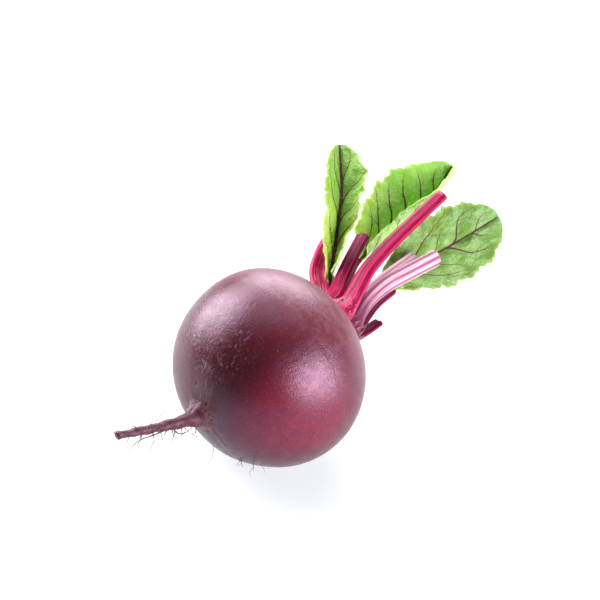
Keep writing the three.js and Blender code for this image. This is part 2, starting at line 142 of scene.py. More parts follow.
# Cut stalks: finish, widths at the crown and at the end, inner side, and route from the crown
CUT_STALKS = {
    "cut_stalk_left": ("painted_lit_magenta", (6.2, 7.4), (0.7, -0.3, 0.45), (
        (-7.6, 34, 1.8), (-11.6, 40.4, 2.6), (-17.6, 45.6, 4.4), (-23.4, 50.6, 7),
        (-27, 57.2, 9.4), (-30.6, 65, 10.2))),
    "cut_stalk_dark": ("plum", (6, 6.2), (0.3, 0.2, -1), (
        (-3.4, 34, 7), (-4.4, 40.4, 8.4), (-8.2, 48.2, 9.8), (-13, 58.8, 11.4),
        (-17, 67, 11.6), (-21, 75, 11.4))),
    "cut_stalk_long": ("magenta", (8.2, 5.4), (-0.4, 0.3, -1), (
        (3.4, 34, 7), (3.4, 40, 8), (0.8, 48, 9.4), (-2.6, 58, 11.6), (-4.6, 71.4, 14),
        (-5.6, 87.4, 16.8), (-6, 108, 20.6))),
    "cut_stalk_pale_upper": ("painted_lit_pale", (5.4, 5.2), (-0.5, 0, -1), (
        (3, 34, -1), (0.8, 42, -1.2), (-2.6, 50, -1.4), (-6, 58, -1.8), (-6.8, 66, -1.4),
        (-6, 88.6, 0.4))),
    "cut_stalk_pale_lower": ("pale", (6, 6.8), (-1, 0, -0.3), (
        (7.7, 34, 0.8), (6.4, 40, 0.9), (3.8, 47, 2), (2.8, 54, 3.6), (2.6, 63, 4.4),
        (3.4, 74, 4), (4.6, 90.6, 3))),
    "cut_stalk_shadow": ("shaded", (4.6, 3.8), (-0.8, 0, 0.6), (
        (6.1, 34, -4.8), (5.6, 42, -4.8), (3.4, 50, -3.8), (1.4, 58, -3.2), (-0.2, 69, -3.6))),
    "cut_stalk_under": ("shaded", (5.2, 4.6), (-0.1, 0, 1), (
        (1.7, 34, -7.6), (2, 41, -9.4), (2.2, 49, -10.6), (2, 57, -11))),
    "cut_stalk_under_far": ("shaded", (5, 4.4), (0.4, 0, 0.9), (
        (-3.5, 34, -6.9), (-4.6, 42, -8.6), (-6.4, 50, -10), (-8, 58, -10.4))),
    "cut_stalk_far": ("magenta", (4.8, 4.2), (0.9, 0, 0.4), (
        (-6.8, 34, -4), (-10, 41, -4.6), (-13, 49, -4.6), (-15.6, 57, -4.6))),
}

# Leaves: a stalk whose route runs on as the midrib, and a blade from a share of it on.
# A fold is the angle at which a half of the blade stands up beside the midrib, and a curl is
# how much further it has turned at the margin: left half and right half, at base and tip.
# Opening says how long the blade keeps the angles of its base.
LEAVES = {
    "leaf_1": {
        "width": (3.8, 1.0), "inner": (0.62, -0.55, 0.56), "blade_from": 0.32,
        "route": (
            (-3.4, 34, 0.6), (-6.6, 40, 2.8), (-11, 45.4, 5), (-15.8, 50, 7.7),
            (-20.8, 59, 14.9), (-25.9, 68.3, 24.4), (-30.9, 75.8, 30.3), (-36.8, 82.2, 36),
            (-42.6, 88.4, 41.6)),
        "half_widths": (10.4, 12.8), "widest": 1.18, "fullness": 0.6,
        "folds": ((62, 48), (58, 14)), "curls": ((-10, -14), (62, 6)), "opening": 0.9,
        "ruffle": 0.7, "ruffles": 3.5, "lobes": 7,
        "lobe_depth": 0.05, "phase": 0.4,
    },
    "leaf_2": {
        "width": (4.0, 1.0), "inner": (0.6, -0.56, 0.57), "blade_from": 0.485,
        "route": (
            (1, 34, 3), (-2.2, 41, 3.8), (-7, 48, 3.6), (-13, 57.4, 2.8), (-19.3, 68.4, 2.4),
            (-22.4, 78, 1.8), (-21.6, 90, 4), (-19.6, 103, 8), (-18.2, 116, 12.8),
            (-18.8, 129.4, 20)),
        "half_widths": (20.3, 11.5), "widest": 1.3, "fullness": 0.55,
        "folds": ((14, 8), (64, 56)), "curls": ((-12, -12), (104, 10)), "opening": 3,
        "ruffle": 0.9, "ruffles": 3, "lobes": 6,
        "lobe_depth": 0.04, "phase": 2.1,
    },
    "leaf_3": {
        "width": (4.0, 1.0), "inner": (0.62, -0.55, 0.56), "blade_from": 0.42,
        "route": (
            (-1.4, 34, -2.8), (-4.4, 44, -4), (-7.6, 54, -5), (-9.8, 64, -6), (-9.4, 78, -5.6),
            (-7.6, 92, -4.8), (-4.2, 104, -3.6), (-0.4, 119.6, -1.4), (3.2, 132, 1.2)),
        "half_widths": (15.7, 16), "widest": 1.4, "fullness": 0.52,
        "folds": ((20, 12), (18, 12)), "curls": ((-14, -16), (-18, -20)), "opening": 1,
        "ruffle": 1.2, "ruffles": 3, "lobes": 7,
        "lobe_depth": 0.045, "phase": 4.0,
    },
}
# Side veins: strength, and places from the midrib outward as shares across and along
SIDE_VEINS = {
    "leaf_1": (
        (0.8, ((0, 0.1), (0.4, 0.17), (0.8, 0.27))),
        (1.25, ((0, 0.27), (0.37, 0.344), (0.75, 0.388), (0.96, 0.43))),
        (0.8, ((0, 0.4), (0.17, 0.438), (0.63, 0.488), (0.86, 0.55))),
        (1.2, ((0, 0.5), (0.07, 0.544), (0.32, 0.619), (0.75, 0.669), (0.95, 0.73))),
        (0.9, ((0, 0.68), (0.05, 0.719), (0.35, 0.812), (0.52, 0.881), (0.6, 0.94))),
        (0.8, ((0, 0.08), (-0.45, 0.18), (-0.82, 0.3))),
        (0.9, ((0, 0.2), (-0.36, 0.3), (-0.66, 0.4), (-0.84, 0.52))),
        (1.0, ((0, 0.38), (-0.12, 0.444), (-0.47, 0.519), (-0.6, 0.631), (-0.74, 0.71))),
        (1.0, ((0, 0.58), (-0.2, 0.656), (-0.4, 0.756), (-0.5, 0.856), (-0.56, 0.93))),
        (0.7, ((0, 0.76), (-0.2, 0.83), (-0.34, 0.91))),
    ),
    "leaf_2": (
        (1.0, ((0, 0.08), (-0.2, 0.16), (-0.48, 0.29), (-0.8, 0.38))),
        (1.2, ((0, 0.22), (-0.2, 0.3), (-0.6, 0.4), (-0.92, 0.49))),
        (1.3, ((0, 0.37), (-0.3, 0.463), (-0.55, 0.519), (-0.84, 0.6))),
        (1.3, ((0, 0.51), (-0.27, 0.588), (-0.52, 0.638), (-0.86, 0.74))),
        (1.1, ((0, 0.65), (-0.28, 0.738), (-0.7, 0.838))),
        (0.9, ((0, 0.79), (-0.25, 0.86), (-0.52, 0.93))),
        (0.9, ((0, 0.1), (0.4, 0.16), (0.85, 0.26))),
        (1.0, ((0, 0.27), (0.4, 0.34), (0.88, 0.44))),
        (1.0, ((0, 0.42), (0.4, 0.5), (0.88, 0.6))),
        (0.9, ((0, 0.58), (0.4, 0.66), (0.85, 0.76))),
        (0.8, ((0, 0.74), (0.35, 0.81), (0.75, 0.89))),
    ),
    "leaf_3": (
        (0.9, ((0, 0.12), (-0.3, 0.19), (-0.7, 0.32))),
        (1.2, ((0, 0.3), (-0.27, 0.363), (-0.38, 0.419), (-0.5, 0.456), (-0.6, 0.562),
               (-0.84, 0.68))),
        (0.9, ((0, 0.49), (-0.12, 0.53), (-0.38, 0.581), (-0.62, 0.68))),
        (1.3, ((0, 0.645), (-0.1, 0.672), (-0.32, 0.7), (-0.57, 0.738), (-0.77, 0.856))),
        (0.8, ((0, 0.8), (-0.25, 0.85), (-0.5, 0.92))),
        (0.8, ((0, 0.06), (0.32, 0.13), (0.74, 0.25))),
        (1.0, ((0, 0.22), (0.25, 0.27), (0.42, 0.33), (0.62, 0.488), (0.73, 0.569), (0.84, 0.68))),
        (0.8, ((0, 0.42), (0.25, 0.47), (0.48, 0.57), (0.7, 0.66))),
        (1.25, ((0, 0.59), (0.07, 0.619), (0.23, 0.656), (0.47, 0.7), (0.56, 0.763), (0.8, 0.86))),
        (0.8, ((0, 0.77), (0.2, 0.81), (0.48, 0.89))),
    ),
}

# How stalks, blades and veins are shaped, in shares of a stalk's width or in mm
STALK_HALF_DEPTH = 0.36
STALK_CHANNEL = 0.17
STALK_RIB = 0.035
STALK_RIBS = 7
STALK_TAPER = 1.6
BLADE_REST = 0.65
FULL_FOLD_WIDTH = 4.0
MIDRIB_WIDTH = 0.6
MIDRIB_TAPER = 0.36
VEIN_WIDTH = 0.4
TWIG_WIDTH = 0.26
# Forks of a side vein: places along it and the turn of each in radians
FORKS = ((0.4, -0.62), (0.62, 0.6), (0.8, -0.55))


class RootSettings(bpy.types.PropertyGroup):
    """Sizes and colours of the root and its rootlets"""

    sides: IntProperty(name="Sides", description="Faces round the root", default=220, min=24)
    hairs: IntProperty(name="Hairs", description="Fine hairs on the taproot", default=30, min=0)
    hair_radius: FloatProperty(
        name="Hair Radius", description="Thickness of a hair at its foot",
        default=0.00011, unit="LENGTH")
    scar_height: FloatProperty(
        name="Scar Height", description="How far a scar's rim stands up",
        default=0.00036, unit="LENGTH")
    # This burgundy is the skin's own deepest tone in mottles and streaks, and also painted shade on
    # the front left and toward the bottom
    deep: FloatVectorProperty(
        name="Deep Skin", description="Darkest burgundy of the skin",
        default=(0.042, 0.004, 0.008), subtype="COLOR")
    middling: FloatVectorProperty(
        name="Middling Skin", description="Burgundy of most of the skin",
        default=(0.082, 0.006, 0.015), subtype="COLOR")
    # This raspberry is mostly painted light, mixed in on the lower right where the right light and
    # the floor's bounce fall, and partly random clean patches
    bright: FloatVectorProperty(
        name="Bright Skin", description="Raspberry of the cleanest skin",
        default=(0.20, 0.010, 0.034), subtype="COLOR")
    dust: FloatVectorProperty(
        name="Dusty Skin", description="Greyish mauve of the dry shoulder",
        default=(0.27, 0.10, 0.135), subtype="COLOR")
    cork: FloatVectorProperty(
        name="Cork", description="Brown of the crown's rings and the scars",
        default=(0.24, 0.10, 0.085), subtype="COLOR")
    taproot: FloatVectorProperty(
        name="Taproot", description="Brownish mauve of the taproot",
        default=(0.072, 0.030, 0.042), subtype="COLOR")


class StalkSettings(bpy.types.PropertyGroup):
    """Sizes and colours of the stalks"""

    sides: IntProperty(name="Sides", description="Faces round a stalk", default=56, min=12)
    rings: IntProperty(name="Rings", description="Faces along a stalk", default=64, min=8)
    scales: IntProperty(
        name="Scales", description="Dried remnants of old stalks on the crown", default=26, min=0)
    flare: FloatProperty(
        name="Flare", description="How much a stalk widens where it clasps the crown",
        default=0.5, subtype="FACTOR")
    magenta: FloatVectorProperty(
        name="Magenta", description="Bright magenta of the ribs",
        default=(0.50, 0.010, 0.088), subtype="COLOR")
    plum: FloatVectorProperty(
        name="Plum", description="Dark purple of the shaded stalks",
        default=(0.20, 0.006, 0.045), subtype="COLOR")
    pale: FloatVectorProperty(
        name="Pale", description="Whitish pink of the pale ribs",
        default=(0.76, 0.49, 0.57), subtype="COLOR")
    pith: FloatVectorProperty(
        name="Pith", description="Pale pink of a cut end",
        default=(0.78, 0.40, 0.47), subtype="COLOR")


class LeafSettings(bpy.types.PropertyGroup):
    """Sizes and colours of the leaves"""

    columns: IntProperty(name="Columns", description="Faces across a blade", default=140, min=10)
    rows: IntProperty(name="Rows", description="Faces along a blade", default=240, min=20)
    thickness: FloatProperty(
        name="Thickness", description="Thickness of a blade", default=0.0005, unit="LENGTH")
    pucker: FloatProperty(
        name="Pucker", description="How far the blade swells between its veins",
        default=0.001, unit="LENGTH")
    green: FloatVectorProperty(
        name="Green", description="Fresh green of the blade",
        default=(0.28, 0.53, 0.045), subtype="COLOR")
    yellow: FloatVectorProperty(
        name="Yellow Green", description="Yellowish green of the ageing parts",
        default=(0.58, 0.66, 0.13), subtype="COLOR")
    under: FloatVectorProperty(
        name="Underside", description="Paler green of the lower face",
        default=(0.42, 0.66, 0.22), subtype="COLOR")
    vein: FloatVectorProperty(
        name="Veins", description="Dark red of the veins",
        default=(0.075, 0.012, 0.013), subtype="COLOR")


class StageSettings(bpy.types.PropertyGroup):
    """Floor, light and camera"""

    floor_size: FloatProperty(
        name="Floor Size", description="Width of the floor", default=6.0, unit="LENGTH")
    floor_color: FloatVectorProperty(
        name="Floor", description="Colour of the floor",
        default=(0.24, 0.245, 0.255), subtype="COLOR")
    floor_glow: FloatVectorProperty(
        name="Floor Glow", description="Light that the table top gives off",
        default=(0.73, 0.745, 0.79), subtype="COLOR")
    # Middle of a painted pool of light that glows on the table top, where the right softbox grazes
    # it
    painted_light_pool: FloatVectorProperty(
        name="Bright Patch", description="Middle of the brightest part of the table top",
        default=(0.05, -0.29, 0.0), subtype="XYZ")
    key_power: FloatProperty(
        name="Key Light", description="Power of the overhead softbox",
        default=5.0, unit="POWER")
    left_power: FloatProperty(
        name="Left Light", description="Power of the softbox behind on the left",
        default=18.5, unit="POWER")
    back_power: FloatProperty(
        name="Back Light", description="Power of the softbox behind on the right",
        default=17.5, unit="POWER")
    right_power: FloatProperty(
        name="Right Light", description="Power of the softbox on the right",
        default=3.2, unit="POWER")
    room: FloatProperty(
        name="Room Light", description="Brightness of the room", default=0.1, min=0.0)
    focal_length: FloatProperty(
        name="Focal Length", description="Focal length of the camera in millimetres",
        default=98.2)


# Shared arithmetic
def smooth_max(a, b, sharpness):
    return (a ** sharpness + b ** sharpness) ** (1 / sharpness)


def bell(distance, spread):
    return np.exp(-((distance / spread) ** 2))


def smoothstep(value, low, high):
    share = np.clip((value - low) / (high - low), 0, 1)
    return share * share * (3 - 2 * share)


def angle_between(start, end):
    return np.arctan2(np.sin(end - start), np.cos(end - start))


def unit(vectors):
    return vectors / np.linalg.norm(vectors, axis=-1, keepdims=True)


def to_world(points):
    """From millimetres in the root's own frame to metres in the frame of the whole."""
    across, along, up = points.T
    cosine, sine = math.cos(CROWN_TILT), math.sin(CROWN_TILT)
    return MM * np.column_stack((
        cosine * along - sine * up + REST_SHIFT, -across, sine * along + cosine * up + REST_HEIGHT))


# Root shape
def body_radius(along):
    reach = np.where(along < 0, TAIL_LENGTH, SHOULDER_LENGTH)
    share = np.minimum(1, np.abs(along) / reach)
    return ROOT_RADIUS * (1 - share ** ROOT_FULLNESS) ** (1 / ROOT_FULLNESS)


def taproot_radius(along):
    out = np.maximum(0, -along - TAIL_LENGTH)
    taper = TAPROOT_TAPER * (1 - out / TAPROOT_LENGTH)
    return TAPROOT_TIP_RADIUS + taper + TAPROOT_FLARE * np.exp(-out / TAPROOT_FLARE_LENGTH)


def collar_radius(along):
    share = np.clip((along - COLLAR_FOOT) / (COLLAR_TOP - COLLAR_FOOT), 0, 1)
    return COLLAR_RADIUS * np.sqrt(1 - share ** COLLAR_SQUARENESS)


def root_profile(along):
    along = np.asarray(along, float)
    body = body_radius(along)
    tail = smooth_max(body, taproot_radius(along), TAIL_BLEND)
    collar = smooth_max(body, collar_radius(along), COLLAR_BLEND)
    radius = np.where(along < 0, tail, np.where(along < COLLAR_FOOT, body, collar))
    return np.where(along < -TAIL_LENGTH, taproot_radius(along), radius)


def skin_relief(along, around):
    lumps = np.cos(2 * around + 0.7) + 0.7 * np.cos(3 * around + along / 14)
    relief = LUMP_HEIGHT * bell(along, LUMP_REACH) * lumps
    for angle in FURROW_ANGLES:
        furrow = bell(angle_between(angle, around), FURROW_WIDTH)
        relief -= FURROW_DEPTH * bell(along - FURROW_MIDDLE, FURROW_REACH) * furrow
    dent_across = angle_between(DENT_ANGLE, around) * ROOT_RADIUS
    relief -= DENT_DEPTH * bell(np.hypot(dent_across, along - DENT_MIDDLE), DENT_SPREAD)
    ring = np.cos(2 * math.pi * (COLLAR_TOP - along) / COLLAR_RING_PITCH)
    return relief + COLLAR_RING_HEIGHT * smoothstep(along, 29, 31) * ring


def taproot_knots(along, around):
    out = -along - TAIL_LENGTH
    knots = KNOT_HEIGHT * (np.sin(out * 1.15 + around) + 0.75 * np.cos(2 * around + out * 0.6))
    return np.where(out < 2, 0, knots)


def taproot_offset(along):
    out = np.maximum(0, -np.asarray(along, float) - TAIL_LENGTH)
    eased = np.hypot(out, TAPROOT_BEND_EASE) - TAPROOT_BEND_EASE
    return TAPROOT_BEND_ACROSS * eased, TAPROOT_BEND_UP * eased


def root_stations():
    taproot = -TAIL_LENGTH - TAPROOT_LENGTH * (1 - np.arange(60) / 60) ** 1.4
    tail = -TAIL_LENGTH * np.cos(np.arange(64) / 64 * math.pi / 2)
    shoulder = COLLAR_SHOULDER * np.sin(np.arange(44) / 44 * math.pi / 2)
    collar = np.arange(35) / 34
    collar = COLLAR_SHOULDER + (COLLAR_TOP - COLLAR_SHOULDER) * np.sin(collar * math.pi / 2)
    return np.concatenate((taproot, tail, shoulder, collar))


def scar_relief(along, around, radius):
    """How much each place is a rim and a pit of the scars that lateral roots left."""
    rims = np.zeros_like(along)
    pits = np.zeros_like(along)
    for scar_along, scar_around, size in SCARS:
        across = angle_between(math.radians(scar_around), around) * radius
        ragged = 1 + 0.25 * np.sin(3 * np.arctan2(across, along - scar_along) + 7 * scar_along)
        distance = np.hypot(across * 0.8, along - scar_along) * ragged
        rims = np.maximum(rims, bell(distance, 1.05 * size))
        pits = np.maximum(pits, bell(distance, 0.6 * size))
    return rims, pits


# Stalk and leaf shape
class Route:
    """A smooth route through points, with equal shares of its parameter between them."""

    def __init__(self, points):
        self.points = np.array(points, float)
        first = 2 * self.points[0] - self.points[1]
        last = 2 * self.points[-1] - self.points[-2]
        self.padded = np.vstack((first, self.points, last))

    def at(self, share):
        share = np.clip(np.asarray(share, float), 0, 1)
        spans = len(self.points) - 1
        span = np.minimum(np.floor(share * spans), spans - 1).astype(int)
        t = (share * spans - span)[..., None]
        p0, p1, p2, p3 = (self.padded[span + i] for i in range(4))
        d0, d1, d2 = (
            (((b - a) ** 2).sum(-1) ** 0.25)[..., None] for a, b in ((p0, p1), (p1, p2), (p2, p3)))
        leave = d1 * ((p1 - p0) / d0 - (p2 - p0) / (d0 + d1) + (p2 - p1) / d1)
        arrive = d1 * ((p2 - p1) / d1 - (p3 - p1) / (d1 + d2) + (p3 - p2) / d2)
        square = -3 * p1 + 3 * p2 - 2 * leave - arrive
        cube = 2 * p1 - 2 * p2 + leave + arrive
        return p1 + leave * t + square * t ** 2 + cube * t ** 3

    def frame(self, share, inner):
        share = np.asarray(share, float)
        tangent = unit(self.at(share + 1e-4) - self.at(share - 1e-4))
        side = unit(np.cross(tangent, np.array(inner, float)))
        return self.at(share), tangent, side, np.cross(side, tangent)

    def length(self):
        points = self.at(np.linspace(0, 1, 200))
        return np.linalg.norm(np.diff(points, axis=0), axis=1).sum()


def stalk_width(width, share):
    at_crown, at_end = width
    return at_end + (at_crown - at_end) * (1 - np.minimum(share, 1)) ** STALK_TAPER


def blade_surface(leaf, across, share, relief=0.0, trim=1.0):
    """Points of a blade's middle sheet. Across runs from -1 to 1, share from base to tip."""
    route = Route(leaf["route"])
    along = leaf["blade_from"] + (1 - leaf["blade_from"]) * share
    point, _, side, front = route.frame(along, leaf["inner"])
    hand = np.sign(across)
    out = np.abs(across)
    half = blade_half_width(leaf, across, share)
    raised = np.minimum(1, half / FULL_FOLD_WIDTH)
    half = half * trim
    fold = blade_turn(leaf, "folds", hand, share) * raised
    curl = blade_turn(leaf, "curls", hand, share) * raised
    turned = fold + curl * out
    ripple = np.sin(2 * math.pi * leaf["ruffles"] * share + leaf["phase"] + 2 * hand)
    lift = leaf["ruffle"] * ripple * out ** 2 * np.sin(math.pi * share) + relief
    clear = BLADE_REST + STALK_HALF_DEPTH * stalk_width(leaf["width"], along)
    sideways = half * (np.sin(turned) - np.sin(fold)) / curl - lift * np.sin(turned)
    forward = half * (np.cos(fold) - np.cos(turned)) / curl + lift * np.cos(turned)
    return point + side * (hand * sideways)[:, None] + front * (clear + forward)[:, None]


def blade_turn(leaf, key, hand, share):
    """A half's angle at this share of the blade, in radians."""
    opened = np.clip(share, 0, 1) ** leaf["opening"]
    left, right = (np.radians(base + (tip - base) * opened) for base, tip in leaf[key])
    return np.where(hand < 0, left, right)


def blade_half_width(leaf, across, share):
    hand = np.sign(across)
    outline = np.sin(math.pi * np.clip(share, 0, 1) ** leaf["widest"]) ** leaf["fullness"]
    reach = np.where(hand < 0, *leaf["half_widths"])
    wave = np.sin(2 * math.pi * leaf["lobes"] * share + leaf["phase"] + hand)
    return np.maximum(0.5, reach * outline) * (1 + leaf["lobe_depth"] * wave)


def blade_length(leaf):
    return Route(leaf["route"]).length() * (1 - leaf["blade_from"])


# Veins of a blade, in its flat space: millimetres across from the midrib and along it
def vein_paths(leaf, veins):
    """Side veins and their forks, as (points, width at the foot, depth of colour)."""
    length = blade_length(leaf)
    pick = random.Random(int(leaf["phase"] * 10))
    paths = []
    for strength, places in veins:
        across, share = np.array(places, float).T
        half = blade_half_width(leaf, across, share)
        flat = np.column_stack((across * half, share * length, np.zeros_like(share)))
        route = Route(flat)
        points = route.at(np.linspace(0, 1, 6 * len(places)))[:, :2]
        paths.append((points, VEIN_WIDTH * strength, 1.0))
        hand = np.sign(across[-1])
        for at, swing in FORKS:
            foot = route.at(at + 0.08 * pick.random())[:2]
            ahead = points[-1] - foot
            turn = hand * swing * (0.8 + 0.4 * pick.random())
            ahead = 0.5 * np.array((
                ahead[0] * math.cos(turn) - ahead[1] * math.sin(turn),
                ahead[0] * math.sin(turn) + ahead[1] * math.cos(turn)))
            bent = foot + 0.55 * ahead + np.array((0, -0.35))
            t = np.linspace(0, 1, 8)[:, None]
            twig = foot * (1 - t) ** 2 + bent * 2 * t * (1 - t) + (foot + ahead) * t ** 2
            paths.append((twig, TWIG_WIDTH, 0.55 * strength))
    return paths


def vein_masks(leaf, veins, across_mm, along_mm):
    """How much of a vein each place is, and its distance to the nearest one in mm."""
    length = blade_length(leaf)
    share = np.clip(along_mm / length, 0, 1)
    mask = bell(across_mm, MIDRIB_WIDTH - MIDRIB_TAPER * share)
    nearest = np.abs(across_mm)
    for points, width, depth in vein_paths(leaf, veins):
        steps = len(points) - 1
        for i, (a, b) in enumerate(zip(points, points[1:])):
            span = b - a
            t = ((across_mm - a[0]) * span[0] + (along_mm - a[1]) * span[1]) / (span @ span)
            t = np.clip(t, 0, 1)
            distance = np.hypot(across_mm - a[0] - t * span[0], along_mm - a[1] - t * span[1])
            thin = width * (1.15 - 0.65 * (i + t) / steps)
            mask = np.maximum(mask, depth * (1 - 0.35 * (i + t) / steps) * bell(distance, thin))
            nearest = np.minimum(nearest, distance)
    return mask, nearest


# Mesh work
def corners(bm):
    return np.array([vertex.co for vertex in bm.verts], float).reshape(-1, 3)


def place(bm, points):
    for vertex, point in zip(bm.verts, points):
        vertex.co = point


def spun_profile(stations, radii, sides):
    """A profile turned round the y axis, closed at both ends."""
    bm = bmesh.new()
    chain = [bm.verts.new((0, stations[0], 0))]
    chain += [bm.verts.new((0, along, radius)) for along, radius in zip(stations, radii)]
    for a, b in zip(chain, chain[1:]):
        bm.edges.new((a, b))
    bmesh.ops.spin(
        bm, geom=bm.verts[:] + bm.edges[:], cent=(0, 0, 0), axis=(0, 1, 0),
        angle=2 * math.pi, steps=sides, use_merge=True)
    bmesh.ops.remove_doubles(bm, verts=bm.verts[:], dist=1e-4)
    return bm


def grow_ring(bm, edges, step=None, shrink=None):
    grown = bmesh.ops.extrude_edge_only(bm, edges=edges)["geom"]
    verts = [part for part in grown if isinstance(part, bmesh.types.BMVert)]
    fresh = set(verts)
    if step is not None:
        bmesh.ops.translate(bm, vec=step, verts=verts)
    if shrink is not None:
        bmesh.ops.scale(bm, vec=(shrink, shrink, 1), verts=verts)
    ring = [
        part for part in grown
        if isinstance(part, bmesh.types.BMEdge) and all(v in fresh for v in part.verts)]
    return verts, ring


def unit_column(sides, rings, cap=(0.95, 0.9, 0.83, 0.75, 0.65, 0.54, 0.42, 0.3, 0.18)):
    """A column of radius 1 from z 0 to 1, closed at the foot, with rings on its top face."""
    bm = bmesh.new()
    bmesh.ops.create_circle(bm, cap_ends=False, segments=sides, radius=1)
    foot = bm.edges[:]
    ring = foot
    for _ in range(rings):
        _, ring = grow_ring(bm, ring, step=(0, 0, 1 / rings))
    inner = 1.0
    for radius in cap:
        _, ring = grow_ring(bm, ring, shrink=radius / inner)
        inner = radius
    verts, _ = grow_ring(bm, ring, shrink=0.5)
    bmesh.ops.pointmerge(bm, verts=verts, merge_co=(0, 0, 1))
    verts, _ = grow_ring(bm, foot, shrink=0.5)
    bmesh.ops.pointmerge(bm, verts=verts, merge_co=(0, 0, 0))
    return bm


def piece_from(bm, name, materials, replaced=(), attributes=None):
    """Makes the object of a finished bmesh and tells the frame what it is."""
    bmesh.ops.recalc_face_normals(bm, faces=bm.faces[:])
    mesh = bpy.data.meshes.new(name)
    bm.to_mesh(mesh)
    bm.free()
    mesh.shade_smooth()
    for key, values in (attributes or {}).items():
        kind, field = ("FLOAT_VECTOR", "vector") if values.ndim == 2 else ("FLOAT", "value")
        layer = mesh.attributes.new(key, kind, "POINT")
        layer.data.foreach_set(field, values.astype(np.float32).ravel())
    for material in materials:
        mesh.materials.append(material)
    piece = bpy.data.objects.new(name, mesh)
    bpy.context.scene.collection.objects.link(piece)
    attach(piece, BODY)
    if replaced:
        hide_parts(*replaced)
    return piece


def join_into(bm, part, points):
    """Adds the vertices and faces of part, moved to points, to bm."""
    place(part, points)
    mesh = bpy.data.meshes.new("part")
    part.to_mesh(mesh)
    part.free()
    bm.from_mesh(mesh)
    bpy.data.meshes.remove(mesh)


# Material work
def add_node(tree, kind, values=None, **settings):
    node = tree.nodes.new(kind)
    for key, value in settings.items():
        setattr(node, key, value)
    for socket, value in (values or {}).items():
        if isinstance(value, bpy.types.NodeSocket):
            tree.links.new(value, node.inputs[socket])
        else:
            node.inputs[socket].default_value = value
    return node


def color(value):
    return (*value[:3], 1.0)


def scaled(value, factor):
    return tuple(factor * c for c in value)


def mix_colors(tree, share, a, b):
    node = add_node(tree, "ShaderNodeMix", data_type="RGBA", clamp_factor=True)
    for index, value in ((0, share), (6, a), (7, b)):
        if isinstance(value, bpy.types.NodeSocket):
            tree.links.new(value, node.inputs[index])
        elif index == 0:
            node.inputs[index].default_value = value
        else:
            node.inputs[index].default_value = color(value)
    return node.outputs[2]


def math_node(tree, operation, a, b=0.0, clamp=False):
    return add_node(
        tree, "ShaderNodeMath", {0: a, 1: b}, operation=operation, use_clamp=clamp).outputs[0]


def product(tree, a, b, clamp=False):
    return math_node(tree, "MULTIPLY", a, b, clamp)


def added(tree, a, b, clamp=False):
    return math_node(tree, "ADD", a, b, clamp)


def ranged(tree, value, low, high, to_low=0.0, to_high=1.0):
    return add_node(tree, "ShaderNodeMapRange", {
        "Value": value, "From Min": low, "From Max": high, "To Min": to_low, "To Max": to_high,
    }, interpolation_type="SMOOTHSTEP").outputs[0]


def noise_value(tree, vector, scale, detail=3.0, roughness=0.55, distortion=0.0):
    return add_node(tree, "ShaderNodeTexNoise", {
        "Vector": vector, "Scale": scale, "Detail": detail, "Roughness": roughness,
        "Distortion": distortion}).outputs[0]


def attribute(tree, name, output="Fac"):
    return add_node(tree, "ShaderNodeAttribute", attribute_name=name).outputs[output]


def group_tree(name, inputs, outputs):
    """A node group with these sockets, and its input and output nodes."""
    tree = bpy.data.node_groups.new(name, "ShaderNodeTree")
    for label, kind, default in inputs:
        socket = tree.interface.new_socket(label, in_out="INPUT", socket_type=kind)
        if default is not None:
            socket.default_value = default
    for label, kind in outputs:
        tree.interface.new_socket(label, in_out="OUTPUT", socket_type=kind)
    return tree, tree.nodes.new("NodeGroupInput").outputs, tree.nodes.new("NodeGroupOutput").inputs


def specks_group():
    """Small round specks, scattered so that most cells have none."""
    name = "Specks"
    if name in bpy.data.node_groups:
        return bpy.data.node_groups[name]
    tree, given, made = group_tree(
        name,
        (("Vector", "NodeSocketVector", None), ("Scale", "NodeSocketFloat", 1.0),
         ("Size", "NodeSocketFloat", 0.3), ("Scarcity", "NodeSocketFloat", 0.5)),
        (("Mask", "NodeSocketFloat"),))
    cells = add_node(tree, "ShaderNodeTexVoronoi", {
        "Vector": given["Vector"], "Scale": given["Scale"]})
    chosen = add_node(tree, "ShaderNodeSeparateColor", {"Color": cells.outputs["Color"]})
    kept = math_node(tree, "GREATER_THAN", chosen.outputs[0], given["Scarcity"])
    soft = math_node(tree, "SUBTRACT", 1.0, math_node(
        tree, "DIVIDE", cells.outputs["Distance"], given["Size"]), clamp=True)
    shown = product(tree, kept, soft)
    tree.links.new(math_node(tree, "POWER", shown, 0.5), made["Mask"])
    return tree


def blotches_group():
    """Large soft patches with small ones in them, from 0 to 1."""
    name = "Blotches"
    if name in bpy.data.node_groups:
        return bpy.data.node_groups[name]
    tree, given, made = group_tree(
        name,
        (("Vector", "NodeSocketVector", None), ("Scale", "NodeSocketFloat", 1.0),
         ("Softness", "NodeSocketFloat", 0.18)),
        (("Mask", "NodeSocketFloat"),))
    patches = noise_value(tree, given["Vector"], given["Scale"], detail=5.0, roughness=0.6)
    low = math_node(tree, "SUBTRACT", 0.5, given["Softness"])
    high = added(tree, 0.5, given["Softness"])
    tree.links.new(ranged(tree, patches, low, high), made["Mask"])
    return tree


def group_node(tree, group, **values):
    node = tree.nodes.new("ShaderNodeGroup")
    node.node_tree = group
    for socket, value in values.items():
        if isinstance(value, bpy.types.NodeSocket):
            tree.links.new(value, node.inputs[socket])
        else:
            node.inputs[socket].default_value = value
    return node.outputs[0]


def new_material(name):
    material = bpy.data.materials.new(name)
    material.use_nodes = True
    tree = material.node_tree
    tree.nodes.clear()
    shader = add_node(tree, "ShaderNodeBsdfPrincipled")
    output = add_node(tree, "ShaderNodeOutputMaterial")
    tree.links.new(shader.outputs[0], output.inputs[0])
    return material, tree, shader


def add_bump(tree, shader, height, strength, distance):
    bump = add_node(tree, "ShaderNodeBump", {
        "Height": height, "Strength": strength, "Distance": distance})
    tree.links.new(bump.outputs[0], shader.inputs["Normal"])


